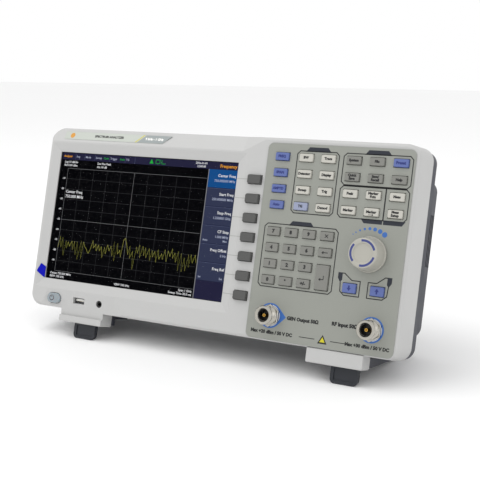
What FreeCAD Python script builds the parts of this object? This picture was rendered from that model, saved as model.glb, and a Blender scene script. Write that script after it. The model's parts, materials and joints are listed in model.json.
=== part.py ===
"""Bench spectrum analyzer, standing on its flip-out front feet.

Every piece is drawn in the upright frame of the case: X to the right, Y from the front
face to the rear, Z up from the underside, with x = 0 in the middle of the case. One common
placement then leans all of them back, as the case stands on its feet. Sizes are in mm.
"""
import FreeCAD, Part
import os
import re
from math import radians

import Sketcher

SIZES = {
    # case
    "case_wide": 375.0,
    "case_high": 175.5,
    "case_deep": 106.0,
    "front_wide": 371.2,
    "front_high": 171.8,
    "case_draft": 3.6,
    "corner_round": 12.0,
    "front_round": 3.0,
    "inner_round": 9.0,
    "wall_thick": 3.0,
    "front_thick": 3.5,
    "bezel_deep": 30.0,
    "joint_gap": 0.3,
    "lean_angle": 15.0,
    # rear shell
    "shell_wide": 373.0,
    "shell_high": 173.5,
    "shell_thick": 2.5,
    "strip_deep": 12.5,
    "slope_deep": 20.0,
    "slope_inset": 14.0,
    # display
    "screen_wide": 196.0,
    "screen_high": 122.5,
    "screen_x": -75.35,
    "screen_z": 89.25,
    "surround_wide": 8.5,
    "surround_deep": 2.5,
    "glass_thick": 1.4,
    "lcd_thick": 7.0,
    "tab_low": 28.3,
    "tab_high": 13.0,
    # facets of the front
    "facet_low": 160.5,
    "facet_deep": 5.2,
    "facet_end": 27.0,
    "facet_run": 25.0,
    "facet_room": 4.0,
    "shelf_top": 18.5,
    "shelf_deep": 2.0,
    "shelf_left": -171.5,
    "shelf_right": -88.0,
    "shelf_run": 6.0,
    # key panel
    "panel_left": 51.5,
    "panel_right": 183.0,
    "panel_low": 2.8,
    "panel_top": 169.0,
    "panel_thick": 0.8,
    "panel_round": 5.0,
    # keys
    "key_gap": 0.4,
    "key_travel": 1.0,
    "key_draft": 4.0,
    "key_round": 1.1,
    "key_edge": 0.5,
    "key_skirt": 1.0,
    "key_lip": 0.8,
    "key_stem": 2.0,
    "softkey_wide": 12.8,
    "softkey_high": 7.7,
    "softkey_proud": 3.2,
    "softkey_x": 42.0,
    "softkey_top": 136.4,
    "softkey_pitch": 16.65,
    "function_wide": 12.7,
    "function_high": 6.8,
    "function_proud": 2.6,
    "function_top": 157.5,
    "function_row": 13.65,
    "measure_x": 66.2,
    "control_x": 88.5,
    "system_x": 131.2,
    "column_pitch": 20.1,
    "digit_wide": 11.8,
    "digit_high": 7.2,
    "digit_x": 66.6,
    "digit_top": 93.85,
    "digit_column": 16.3,
    "digit_row": 13.63,
    "arrow_wide": 11.8,
    "arrow_high": 7.9,
    "arrow_left": 140.2,
    "arrow_right": 164.0,
    "arrow_z": 54.0,
    "power_x": -157.2,
    "power_z": 10.2,
    "power_wide": 15.3,
    "power_high": 9.4,
    "power_proud": 0.9,
    # knob and encoder
    "knob_x": 153.8,
    "knob_z": 82.6,
    "knob_radius": 14.5,
    "knob_top": 11.1,
    "knob_high": 16.0,
    "shaft_radius": 3.0,
    "shaft_gap": 0.05,
    "bush_radius": 4.5,
    # connectors in the front
    "output_x": 72.6,
    "input_x": 162.8,
    "plug_z": 23.2,
    "thread_radius": 7.94,
    "thread_end": 14.0,
    "nut_flats": 19.0,
    "nut_thick": 3.0,
    "plug_bore": 4.6,
    "plug_bore_deep": 10.0,
    "pin_radius": 1.6,
    "usb_x": -128.25,
    "usb_z": 10.6,
    "usb_wide": 12.5,
    "usb_high": 5.2,
    "jack_x": -104.8,
    "jack_z": 10.4,
    "jack_bore": 1.8,
    "jack_hole": 3.3,
    # feet and their bosses
    "boss_low": -10.0,
    "boss_deep": 17.0,
    "left_boss_from": -148.0,
    "left_boss_to": -99.6,
    "right_boss_from": 109.0,
    "right_boss_to": 158.3,
    "left_foot_x": -121.7,
    "right_foot_x": 141.5,
    "foot_wide": 24.0,
    "foot_thick": 4.5,
    "foot_front": 6.6,
    "foot_tip": -24.3,
    "foot_gap": 0.4,
    "hinge_y": 9.1,
    "hinge_z": -5.2,
    "hinge_radius": 2.5,
    "hinge_pin": 1.5,
    "hinge_stub": 2.4,
    "pin_gap": 0.05,
    # carrying handle
    "handle_reach": 75.0,
    "handle_pivot_y": 56.0,
    "handle_pivot_z": 171.5,
    "handle_long": 42.0,
    "handle_thick": 7.0,
    "handle_pin": 2.5,
}

DOC = FreeCAD.newDocument("SpectrumAnalyzer")


def make_sheet(name, words):
    """A spreadsheet with one named cell for each word."""
    sheet = DOC.addObject("Spreadsheet::Sheet", name)
    for row, (word, number) in enumerate(words.items(), 1):
        sheet.set(f"A{row}", word)
        sheet.set(f"B{row}", str(number))
        sheet.setAlias(f"B{row}", word)
    return sheet


SHEET = make_sheet("Sizes", SIZES)
STANCE = make_sheet("Stance", {"shift_back": 0.0, "shift_up": 0.0})
DOC.recompute()

ALIAS = re.compile(r"[a-z]+(?:_[a-z]+)+")
V = FreeCAD.Vector
BODIES = {}


def size(word):
    """The number that the sheet holds under one alias."""
    return float(getattr(SHEET, word))


def cells(text):
    """An expression on the sheet, from words such as 'softkey_top - 2 * softkey_pitch'."""
    return ALIAS.sub(lambda found: "Sizes." + found.group(0), str(text))


def lean_back(piece, x="0", y="0", z="0"):
    """Place a piece at (x, y, z) of the upright case, then lean it back with the rest."""
    piece.Placement = FreeCAD.Placement(V(), FreeCAD.Rotation(V(1, 0, 0), -size("lean_angle")))
    turn = "cos(lean_angle)", "sin(lean_angle)"
    piece.setExpression("Placement.Rotation.Angle", cells("-lean_angle"))
    piece.setExpression("Placement.Base.x", cells(x))
    back = cells(f"({y}) * {turn[0]} + ({z}) * {turn[1]}")
    up = cells(f"({z}) * {turn[0]} - ({y}) * {turn[1]}")
    piece.setExpression("Placement.Base.y", f"{back} + Stance.shift_back")
    piece.setExpression("Placement.Base.z", f"{up} + Stance.shift_up")


def new_body(label, x="0", y="0", z="0"):
    """An empty body, listed as one sub-part."""
    body = DOC.addObject("PartDesign::Body", label)
    body.Label = label
    lean_back(body, x, y, z)
    BODIES[label] = body
    return body


def new_sketch(body, role, along="0"):
    """A sketch on an origin plane, moved along X, Y or Z to where the plane should be."""
    sketch = body.newObject("Sketcher::SketchObject", f"{body.Label}_sketch")
    plane = next(item for item in body.Origin.OriginFeatures if item.Role == role)
    sketch.AttachmentSupport = [(plane, "")]
    sketch.MapMode = "FlatFace"
    sign = "-" if role == "XZ_Plane" else ""
    sketch.setExpression("AttachmentOffset.Base.z", cells(f"{sign}({along})"))
    return sketch


def pin_down(sketch, kind, places, expression):
    """One driving dimension, bound to the sheet."""
    index = sketch.addConstraint(Sketcher.Constraint(kind, *places, 1.0))
    sketch.setExpression(f"Constraints[{index}]", cells(expression))


def rectangle(sketch, wide, high, x="0", z="0"):
    """A driven rectangle with its centre at (x, z) of the sketch."""
    first = sketch.GeometryCount
    corners = [V(0, 0, 0), V(1, 0, 0), V(1, 1, 0), V(0, 1, 0)]
    sketch.addGeometry([Part.LineSegment(corners[i], corners[(i + 1) % 4]) for i in range(4)], False)
    for side in range(4):
        following = first + (side + 1) % 4
        sketch.addConstraint(Sketcher.Constraint("Coincident", first + side, 2, following, 1))
        direction = "Vertical" if side % 2 else "Horizontal"
        sketch.addConstraint(Sketcher.Constraint(direction, first + side))
    pin_down(sketch, "DistanceX", (first, 1, first, 2), wide)
    pin_down(sketch, "DistanceY", (first + 1, 1, first + 1, 2), high)
    pin_down(sketch, "DistanceX", (-1, 1, first, 1), f"({x}) - ({wide}) / 2")
    pin_down(sketch, "DistanceY", (-1, 1, first, 1), f"({z}) - ({high}) / 2")


def span(sketch, left, right, low, top):
    """A driven rectangle between two edges each way."""
    rectangle(sketch, f"({right}) - ({left})", f"({top}) - ({low})",
              f"(({left}) + ({right})) / 2", f"(({low}) + ({top})) / 2")


def rounded(sketch, wide, high, corner, x="0", z="0"):
    """A driven rectangle with round corners and its centre at (x, z) of the sketch."""
    half_wide, half_high, bend = 30, 20, 5
    lines = []
    arcs = []
    for right, up in ((1, -1), (1, 1), (-1, 1), (-1, -1)):
        middle = V(right * (half_wide - bend), up * (half_high - bend), 0)
        start = {(1, -1): -90, (1, 1): 0, (-1, 1): 90, (-1, -1): 180}[right, up]
        bent = Part.Circle(middle, V(0, 0, 1), bend)
        arcs.append(Part.ArcOfCircle(bent, radians(start), radians(start + 90)))
    for index in range(4):
        lines.append(Part.LineSegment(arcs[index - 1].EndPoint, arcs[index].StartPoint))
    first = sketch.GeometryCount
    sketch.addGeometry(lines + arcs, False)
    for side in range(4):
        arc = first + 4 + side
        following = first + (side + 1) % 4
        sketch.addConstraint(Sketcher.Constraint("Tangent", first + side, 2, arc, 1))
        sketch.addConstraint(Sketcher.Constraint("Tangent", arc, 2, following, 1))
        direction = "Vertical" if side % 2 else "Horizontal"
        sketch.addConstraint(Sketcher.Constraint(direction, first + side))
        if side:
            sketch.addConstraint(Sketcher.Constraint("Equal", first + 4, arc))
    pin_down(sketch, "Radius", (first + 4,), corner)
    pin_down(sketch, "DistanceX", (first, 1, first, 2), f"({wide}) - 2 * ({corner})")
    pin_down(sketch, "DistanceY", (first + 1, 1, first + 1, 2), f"({high}) - 2 * ({corner})")
    pin_down(sketch, "DistanceX", (-1, 1, first, 1), f"({x}) - ({wide}) / 2 + ({corner})")
    pin_down(sketch, "DistanceY", (-1, 1, first, 1), f"({z}) - ({high}) / 2")


def circle(sketch, radius, x="0", z="0"):
    """A driven circle with its centre at (x, z) of the sketch."""
    index = sketch.addGeometry(Part.Circle(V(1, 1, 0), V(0, 0, 1), 1), False)
    pin_down(sketch, "Radius", (index,), radius)
    pin_down(sketch, "DistanceX", (-1, 1, index, 3), x)
    pin_down(sketch, "DistanceY", (-1, 1, index, 3), z)


def outline(sketch, points):
    """A driven polygon: each corner is a pair of expressions."""
    first = sketch.GeometryCount
    count = len(points)
    guess = [V(index * index, index, 0) for index in range(count)]
    lines = [Part.LineSegment(guess[i], guess[(i + 1) % count]) for i in range(count)]
    sketch.addGeometry(lines, False)
    for side, (across, up) in enumerate(points):
        following = first + (side + 1) % count
        sketch.addConstraint(Sketcher.Constraint("Coincident", first + side, 2, following, 1))
        pin_down(sketch, "DistanceX", (-1, 1, first + side, 1), across)
        pin_down(sketch, "DistanceY", (-1, 1, first + side, 1), up)


def feature(body, kind, sketch, length=None, flip=False, draft=None, both=False):
    """A pad or pocket of a sketch, as far as its length says."""
    item = body.newObject(f"PartDesign::{kind}", f"{body.Label}_{kind.lower()}")
    item.Profile = sketch
    item.Reversed = flip
    if both:
        item.SideType = "Symmetric"
    if length is None:
        item.Type = "ThroughAll"
    else:
        item.setExpression("Length", cells(length))
    if draft is not None:
        item.setExpression("TaperAngle", cells(draft))
    return item


def front_pad(body, draw, start, length, draft=None):
    """Add what draw() sketches on the plane y = start, towards the rear."""
    sketch = new_sketch(body, "XZ_Plane", start)
    draw(sketch)
    return feature(body, "Pad", sketch, length, flip=True, draft=draft)


def front_cut(body, draw, start, length):
    """Cut what draw() sketches on the plane y = start, towards the rear."""
    sketch = new_sketch(body, "XZ_Plane", start)
    draw(sketch)
    return feature(body, "Pocket", sketch, length, flip=False)


def side_pad(body, draw, start, length):
    """Add what draw() sketches on the plane x = start, towards the right."""
    sketch = new_sketch(body, "YZ_Plane", start)
    draw(sketch)
    return feature(body, "Pad", sketch, length)


def side_cut(body, draw, start, length):
    """Cut what draw() sketches on the plane x = start, towards the right."""
    sketch = new_sketch(body, "YZ_Plane", start)
    draw(sketch)
    return feature(body, "Pocket", sketch, length, flip=True)


def front_loft(body, kind, near, far, near_y, far_y):
    """A straight loft between two sketches on planes facing the front."""
    sections = []
    for draw, place in ((near, near_y), (far, far_y)):
        sketch = new_sketch(body, "XZ_Plane", place)
        draw(sketch)
        sections.append(sketch)
    loft = body.newObject(f"PartDesign::{kind}Loft", f"{body.Label}_loft")
    loft.Profile = sections[0]
    loft.Sections = sections[1:]
    loft.Ruled = True
    return loft


def side_loft(body, near, far, near_x, far_x):
    """Cut a straight loft between two sketches on planes facing the side."""
    sections = []
    for draw, place in ((near, near_x), (far, far_x)):
        sketch = new_sketch(body, "YZ_Plane", place)
        draw(sketch)
        sections.append(sketch)
    loft = body.newObject("PartDesign::SubtractiveLoft", f"{body.Label}_loft")
    loft.Profile = sections[0]
    loft.Sections = sections[1:]
    loft.Ruled = True
    return loft


def turn(body, kind, draw, x, z):
    """Revolve a half profile, drawn in (radius, depth), about the line along Y at (x, z)."""
    sketch = body.newObject("Sketcher::SketchObject", f"{body.Label}_profile")
    plane = next(item for item in body.Origin.OriginFeatures if item.Role == "XY_Plane")
    sketch.AttachmentSupport = [(plane, "")]
    sketch.MapMode = "FlatFace"
    sketch.setExpression("AttachmentOffset.Base.x", cells(x))
    sketch.setExpression("AttachmentOffset.Base.z", cells(z))
    draw(sketch)
    item = body.newObject(f"PartDesign::{kind}", f"{body.Label}_{kind.lower()}")
    item.Profile = sketch
    item.ReferenceAxis = (sketch, ["V_Axis"])
    item.Angle = 360.0
    return item


def round_edges(body, base, test, radius):
    """Fillet the edges of a feature that pass a test."""
    DOC.recompute()
    names = [f"Edge{i}" for i, edge in enumerate(base.Shape.Edges, 1) if test(edge)]
    item = body.newObject("PartDesign::Fillet", f"{body.Label}_fillet")
    item.Base = (base, names)
    item.setExpression("Radius", cells(radius))
    return item


def runs_along(edge, axis):
    """Whether an edge's two ends differ mainly along one axis."""
    first, last = edge.Vertexes[0].Point, edge.Vertexes[-1].Point
    apart = [abs(last.x - first.x), abs(last.y - first.y), abs(last.z - first.z)]
    return apart["xyz".index(axis)] > 0.6 * sum(apart) and sum(apart) > 0.2


def lies_at(edge, axis, place):
    """Whether an edge lies in the plane where one coordinate has a given value."""
    box = edge.BoundBox
    low, high = {"x": (box.XMin, box.XMax), "y": (box.YMin, box.YMax), "z": (box.ZMin, box.ZMax)}[axis]
    return abs(low - place) < 0.02 and abs(high - place) < 0.02


# ---------------------------------------------------------------- where the keys stand

def grid(x, z, columns, rows, down, x_step="column_pitch"):
    """Key centres, row by row from the top left."""
    return [(f"{x} + {column} * {x_step}", f"{z} - {row} * {down}")
            for row in range(rows) for column in range(columns)]


SOFTKEYS = grid("softkey_x", "softkey_top", 1, 7, "softkey_pitch")
MEASURE_KEYS = grid("measure_x", "function_top", 1, 4, "function_row")
CONTROL_KEYS = grid("control_x", "function_top", 2, 4, "function_row")
UPPER_KEYS = grid("system_x", "function_top", 3, 2, "function_row")
PRESET_KEYS = UPPER_KEYS[2:3]
SYSTEM_KEYS = UPPER_KEYS[:2] + UPPER_KEYS[3:]
MARKER_KEYS = grid("system_x", "function_top - 2 * function_row", 3, 2, "function_row")
DIGIT_GRID = grid("digit_x", "digit_top", 4, 4, "digit_row", "digit_column")
DIGIT_NAMES = ["digit_7", "digit_8", "digit_9", "cancel_key",
               "digit_4", "digit_5", "digit_6", "back_key",
               "digit_1", "digit_2", "digit_3", "enter_key",
               "digit_0", "point_key", "sign_key"]
ENTER_PLACE = ("digit_x + 3 * digit_column", "digit_top - 2.5 * digit_row")
DIGIT_PLACES = [ENTER_PLACE if name == "enter_key" else DIGIT_GRID[index]
                for index, name in enumerate(DIGIT_NAMES)]
ENTER_HIGH = "digit_high + digit_row"
ARROW_KEYS = [("arrow_left", "arrow_z"), ("arrow_right", "arrow_z")]

FUNCTION = ("function_wide", "function_high")
DIGIT = ("digit_wide", "digit_high")
KEY_GROUPS = [
    (SOFTKEYS, "softkey_wide", "softkey_high"),
    (MEASURE_KEYS, *FUNCTION),
    (CONTROL_KEYS, *FUNCTION),
    (UPPER_KEYS, *FUNCTION),
    (MARKER_KEYS, *FUNCTION),
    ([place for place in DIGIT_PLACES if place != ENTER_PLACE], *DIGIT),
    ([ENTER_PLACE], "digit_wide", ENTER_HIGH),
    (ARROW_KEYS, "arrow_wide", "arrow_high"),
]


def key_openings(body, start, length, gap, groups):
    """Cut one opening for each key, a little larger than the key."""
    for places, wide, high in groups:
        def draw(sketch):
            for x, z in places:
                rectangle(sketch, f"{wide} + 2 * {gap}", f"{high} + 2 * {gap}", x, z)
        front_cut(body, draw, start, length)


# ---------------------------------------------------------------- front bezel

def cut_facets(bezel):
    """The light facet along the top and the shelf at the lower left."""
    over = "front_high + 6"
    low = "facet_low"
    slope = f"facet_deep * ({over} - facet_low) / (front_high - facet_low)"
    beyond = "-facet_deep"

    def top_section(sketch):
        outline(sketch, [("0", low), (beyond, low), (beyond, over), (slope, over)])

    def top_end(sketch):
        outline(sketch, [("0", "front_high + 5.9"), (beyond, "front_high + 5.9"),
                         (beyond, over), ("0.02", over)])

    side_cut(bezel, top_section, "-case_wide", "case_wide + facet_end")
    side_loft(bezel, top_section, top_end, "facet_end", "facet_end + facet_run * 1.3")

    deep = "shelf_deep * (shelf_top + 4) / shelf_top"

    def shelf_section(sketch):
        outline(sketch, [("0", "shelf_top"), ("-2", "shelf_top"), ("-2", "-4"), (deep, "-4")])

    def shelf_end(sketch):
        outline(sketch, [("0", "-3.9"), ("-2", "-3.9"), ("-2", "-4"), ("0.02", "-4")])

    side_cut(bezel, shelf_section, "shelf_left + shelf_run", "shelf_right - shelf_left - shelf_run")
    side_loft(bezel, shelf_section, shelf_end, "shelf_left + shelf_run", "shelf_left - shelf_run / 2")
    side_loft(bezel, shelf_section, shelf_end, "shelf_right", "shelf_right + 3 * shelf_run")


def cut_screen(bezel):
    """The sloped surround and the opening of the display."""
    def crest(sketch):
        rectangle(sketch, "screen_wide + 2 * surround_wide", "screen_high + 2 * surround_wide",
                  "screen_x", "screen_z")

    def opening(sketch):
        rectangle(sketch, "screen_wide", "screen_high", "screen_x", "screen_z")

    front_loft(bezel, "Subtractive", crest, opening, "0", "surround_deep")
    front_cut(bezel, opening, "0", "front_thick + 1")


def add_boss(bezel, left, right, foot_x):
    """A boss under the front with a slot and two pin holes for its foot."""
    def block(sketch):
        span(sketch, left, right, "boss_low", "2")

    def slot(sketch):
        outline(sketch, [("foot_front - foot_gap", "-0.6"), ("boss_deep + 1", "-0.6"),
                         ("boss_deep + 1", "boss_low - 1"), ("foot_front - foot_gap", "boss_low - 1")])

    def pins(sketch):
        circle(sketch, "hinge_pin + pin_gap", "hinge_y", "hinge_z")

    pad = front_pad(bezel, block, "0", "boss_deep")
    round_edges(bezel, pad, lambda edge: lies_at(edge, "z", size("boss_low")), "1.2")
    side_cut(bezel, slot, f"{foot_x} - foot_wide / 2 - foot_gap", "foot_wide + 2 * foot_gap")
    side_cut(bezel, pins, f"{foot_x} - foot_wide / 2 - hinge_stub - 0.6", "foot_wide + 2 * hinge_stub + 1.2")


def make_bezel():
    """The light front moulding."""
    bezel = new_body("front_bezel")

    def front(sketch):
        rectangle(sketch, "front_wide", "front_high", "0", "case_high / 2")

    shell = front_pad(bezel, front, "0", "bezel_deep", "case_draft")
    corners = round_edges(bezel, shell, lambda edge: runs_along(edge, "y"), "corner_round")
    round_edges(bezel, corners, lambda edge: lies_at(edge, "y", 0), "front_round")

    floor_inside = "(case_high - front_high) / 2 + wall_thick"
    wide_inside = "front_wide - 2 * wall_thick"
    high_inside = "front_high - 2 * wall_thick"
    high_low_part = f"facet_low + facet_room - ({floor_inside})"

    def behind_facet(sketch):
        rounded(sketch, wide_inside, high_low_part, "inner_round", "0",
                f"{floor_inside} + ({high_low_part}) / 2")

    def inside(sketch):
        rounded(sketch, wide_inside, high_inside, "inner_round", "0", "case_high / 2")

    front_cut(bezel, behind_facet, "front_thick", "case_deep")
    front_cut(bezel, inside, "facet_deep * 2", "case_deep")
    add_boss(bezel, "left_boss_from", "left_boss_to", "left_foot_x")
    add_boss(bezel, "right_boss_from", "right_boss_to", "right_foot_x")
    cut_facets(bezel)
    cut_screen(bezel)
    key_openings(bezel, "-1", "front_thick + 2", "key_gap", KEY_GROUPS)

    def power_hole(sketch):
        rounded(sketch, "power_wide + 2 * key_gap", "power_high + 2 * key_gap",
                "power_high / 2 + key_gap - 0.05", "power_x", "power_z")

    def usb_hole(sketch):
        rectangle(sketch, "usb_wide + 0.6", "usb_high + 0.6", "usb_x", "usb_z")

    def round_holes(sketch):
        circle(sketch, "jack_hole", "jack_x", "jack_z")
        circle(sketch, "bush_radius + 0.2", "knob_x", "knob_z")
        circle(sketch, "thread_radius + 0.2", "output_x", "plug_z")
        circle(sketch, "thread_radius + 0.2", "input_x", "plug_z")

    for draw in (power_hole, usb_hole, round_holes):
        front_cut(bezel, draw, "-1", "front_thick + 2")


# ---------------------------------------------------------------- rear cover

def cover_section(inset, corner="corner_round - 1"):
    """A rounded section of the shell, drawn in by the same amount all round."""
    def draw(sketch):
        rounded(sketch, f"shell_wide - 2 * ({inset})", f"shell_high - 2 * ({inset})", corner,
                "0", "case_high / 2")
    return draw


def add_skid(cover, left, right, fin_left, fin_right):
    """A foot housing's dark rear part: roof plate, short inner wall and long outer fin."""
    start = "boss_deep + joint_gap"
    roof_end = "bezel_deep + strip_deep"

    def roof(sketch):
        outline(sketch, [(start, "-2.3"), (start, "-joint_gap"), ("bezel_deep + joint_gap", "-joint_gap"),
                         ("bezel_deep + joint_gap", "2.6"), (roof_end, "2.6"), (roof_end, "-2.3")])

    def walls(sketch):
        outline(sketch, [(start, "boss_low + 1.3"), (start, "-joint_gap"), ("22.5", "-joint_gap"),
                         ("22.5", "boss_low + 1.8")])

    def fin(sketch):
        outline(sketch, [(start, "boss_low + 1.3"), (start, "-joint_gap"),
                         ("bezel_deep + joint_gap", "-joint_gap"), ("bezel_deep + joint_gap", "2.6"),
                         ("bezel_deep + strip_deep", "2.6"),
                         ("bezel_deep + strip_deep + slope_deep", "slope_inset + 2.5"),
                         ("case_deep - 1", "slope_inset + 4"), ("case_deep - 1", "5"),
                         ("89.5", "0.75"), ("88.5", "boss_low + 9.4")])

    side_pad(cover, roof, left, f"{right} - ({left})")
    inner_left = f"{right} - 9" if fin_left == left else left
    side_pad(cover, walls, inner_left, "9")
    side_pad(cover, fin, fin_left, f"{fin_right} - ({fin_left})")


def cut_vents(cover):
    """Slots in both sides, in the back and over the fan."""
    def side_slots(sketch):
        for index in range(9):
            rectangle(sketch, "2.4", "46", f"66 + {index} * 4.4", "104")

    def back_slots(sketch):
        for index in range(8):
            rectangle(sketch, "70", "2.4", "-104", f"104 + {index} * 5")

    def fan_slots(sketch):
        for index in range(9):
            rectangle(sketch, "2.6", "46", f"82 + {index} * 5.4", "118")

    side_cut(cover, side_slots, "-case_wide", "case_wide * 2")
    front_cut(cover, back_slots, "case_deep - 8", "12")
    front_cut(cover, fan_slots, "case_deep - 8", "12")


def cut_ports(cover):
    """Openings for the sockets in the back."""
    def ports(sketch):
        rectangle(sketch, "27.6", "19.8", *INLET_PLACE)
        rectangle(sketch, "16.2", "13.6", *LAN_PLACE)
        rectangle(sketch, "12.2", "11.2", *DEVICE_PLACE)
        for x, z in BNC_PLACES:
            circle(sketch, "4.9", x, z)

    front_cut(cover, ports, "case_deep - 6", "12")


INLET_PLACE = ("-128", "44")
LAN_PLACE = ("-62", "44")
DEVICE_PLACE = ("-38", "44")
BNC_PLACES = [(f"{x}", "44") for x in (30, 56, 82)]
SCREW_PLACES = [(f"{x}", f"{z}") for x in (-158, 158) for z in (28, 146)]


def make_cover():
    """The dark rear shell with its skids and handle lugs."""
    cover = new_body("rear_cover")
    strip_end = "bezel_deep + strip_deep"
    slope_end = "bezel_deep + strip_deep + slope_deep"
    tail = "slope_inset + 2.2"
    inner = "corner_round - 1 - shell_thick"
    front_pad(cover, cover_section("0"), "bezel_deep", "strip_deep")
    front_loft(cover, "Additive", cover_section("0"), cover_section("slope_inset"), strip_end, slope_end)
    front_loft(cover, "Additive", cover_section("slope_inset"), cover_section(tail), slope_end, "case_deep")
    DOC.recompute()
    round_edges(cover, cover.Tip, lambda edge: lies_at(edge, "y", size("case_deep")), "3")
    front_cut(cover, cover_section("shell_thick", inner), "bezel_deep - 1", "strip_deep + 1")
    front_loft(cover, "Subtractive", cover_section("shell_thick", inner),
               cover_section("slope_inset + shell_thick", inner), strip_end, slope_end)
    front_loft(cover, "Subtractive", cover_section("slope_inset + shell_thick", inner),
               cover_section(f"{tail} + shell_thick", inner), slope_end, "case_deep - shell_thick")

    add_skid(cover, "left_boss_from", "left_boss_to", "left_boss_from", "left_boss_from + 10")
    add_skid(cover, "right_boss_from", "right_boss_to", "right_boss_to - 4.2", "right_boss_to")

    def lug(sketch):
        outline(sketch, [("handle_pivot_y - 6", "case_high - 14"), ("handle_pivot_y - 6", "handle_pivot_z"),
                         ("handle_pivot_y - 4", "handle_pivot_z + 3.6"),
                         ("handle_pivot_y + 4", "handle_pivot_z + 3.6"),
                         ("handle_pivot_y + 6", "handle_pivot_z"), ("handle_pivot_y + 6", "case_high - 16")])

    def lug_hole(sketch):
        circle(sketch, "handle_pin + pin_gap", "handle_pivot_y", "handle_pivot_z")

    for side in ("-1", "1"):
        middle = f"{side} * (handle_reach + 8)"
        side_pad(cover, lug, f"{middle} - 4", "8")
        side_cut(cover, lug_hole, f"{middle} - 5", "10")
    cut_vents(cover)
    cut_ports(cover)

    def screw_holes(sketch):
        for x, z in SCREW_PLACES:
            circle(sketch, "1.9", x, z)

    front_cut(cover, screw_holes, "case_deep - 6", "12")


# ---------------------------------------------------------------- panel and display

def make_panel():
    """The printed overlay round the keys."""
    panel = new_body("key_panel")

    def sheet(sketch):
        span(sketch, "panel_left", "panel_right", "panel_low", "panel_top")

    plate = front_pad(panel, sheet, "-panel_thick", "panel_thick")
    round_edges(panel, plate, lambda edge: runs_along(edge, "y"), "panel_round")
    key_openings(panel, "-panel_thick - 1", "panel_thick + 2", "key_gap - 0.05", KEY_GROUPS[1:])

    def round_holes(sketch):
        circle(sketch, "bush_radius + 0.3", "knob_x", "knob_z")
        circle(sketch, "thread_radius + 0.3", "output_x", "plug_z")
        circle(sketch, "thread_radius + 0.3", "input_x", "plug_z")

    front_cut(panel, round_holes, "-panel_thick - 1", "panel_thick + 2")


def plain_block(label, wide, high, x, z, start, thick, rounding=None):
    """A rectangular plate or box facing the front."""
    body = new_body(label)

    def draw(sketch):
        rectangle(sketch, wide, high, x, z)

    pad = front_pad(body, draw, start, thick)
    if rounding:
        round_edges(body, pad, lambda edge: runs_along(edge, "y"), rounding)
    return body


def make_display():
    """The clear window, the display module behind it and the pull tab of its film."""
    plain_block("display_window", "screen_wide + 8", "screen_high + 8", "screen_x", "screen_z",
                "front_thick + 0.05", "glass_thick", "2")
    lcd_front = "front_thick + glass_thick + 0.1"
    lcd = plain_block("lcd_module", "screen_wide + 14", "screen_high + 14", "screen_x", "screen_z",
                      lcd_front, "lcd_thick", "1.5")

    def driver_board(sketch):
        rectangle(sketch, "screen_wide - 30", "22", "screen_x", "screen_z - screen_high / 2 + 16")

    front_pad(lcd, driver_board, f"{lcd_front} + lcd_thick", "2")

    tab = new_body("film_tab")
    edge = "screen_x - screen_wide / 2"
    out = f"{edge} - surround_wide + 0.3"

    def strip(sketch):
        outline(sketch, [(edge, "surround_deep - 0.35"), (edge, "surround_deep - 0.6"),
                         (out, "-0.5"), (out, "-0.25")])

    def above(sketch):
        outline(sketch, [(f"{out} - 1", "tab_low + 4"), (f"{out} + 3.2", "tab_low + tab_high"),
                         (f"{edge} + 1", "tab_low + tab_high - 3.2"),
                         (f"{edge} + 1", "tab_low + tab_high + 1"),
                         (f"{out} - 1", "tab_low + tab_high + 1")])

    def below(sketch):
        outline(sketch, [(f"{out} - 1", "tab_low + 5.6"), (f"{out} - 1", "tab_low - 1"),
                         (f"{edge} - 0.8", "tab_low - 1"), (f"{edge} - 0.8", "tab_low")])

    sketch = new_sketch(tab, "XY_Plane", "tab_low")
    strip(sketch)
    feature(tab, "Pad", sketch, "tab_high")
    for draw in (above, below):
        front_cut(tab, draw, "-2", "tab_high")


# ---------------------------------------------------------------- keys

def key_cap(label, places, wide, high, proud, origin=("0", "0"), corner=None,
            lip="key_gap + key_lip"):
    """Key caps with a skirt behind the front wall and a stem over the switch; a corner makes them pills."""
    body = new_body(label, x=origin[0], z=origin[1])
    back = "front_thick"

    def caps(sketch):
        for x, z in places:
            if corner:
                rounded(sketch, wide, high, corner, x, z)
            else:
                rectangle(sketch, wide, high, x, z)

    def skirts(sketch):
        for x, z in places:
            rectangle(sketch, f"{wide} + 2 * (key_gap + key_lip)", f"{high} + 2 * ({lip})", x, z)

    def stems(sketch):
        for x, z in places:
            circle(sketch, "key_stem", x, z)

    sketch = new_sketch(body, "XZ_Plane", "0")
    caps(sketch)
    head = feature(body, "Pad", sketch, proud, draft="-key_draft")
    if not corner:
        head = round_edges(body, head, lambda edge: runs_along(edge, "y"), "key_round")
    front = -size(proud)
    round_edges(body, head, lambda edge: lies_at(edge, "y", front), "key_edge")
    front_pad(body, caps, "0", f"{back} + 0.8")
    front_pad(body, skirts, f"{back} + 0.3", "key_skirt")
    front_pad(body, stems, f"{back} + 0.8", "1.9")
    return body


def single_keys(names, places, wide, high, proud):
    """One body for each key, each with its own origin."""
    for name, place in zip(names, places):
        key_high = ENTER_HIGH if name == "enter_key" else high
        key_cap(name, [("0", "0")], wide, key_high, proud, origin=place)


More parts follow.
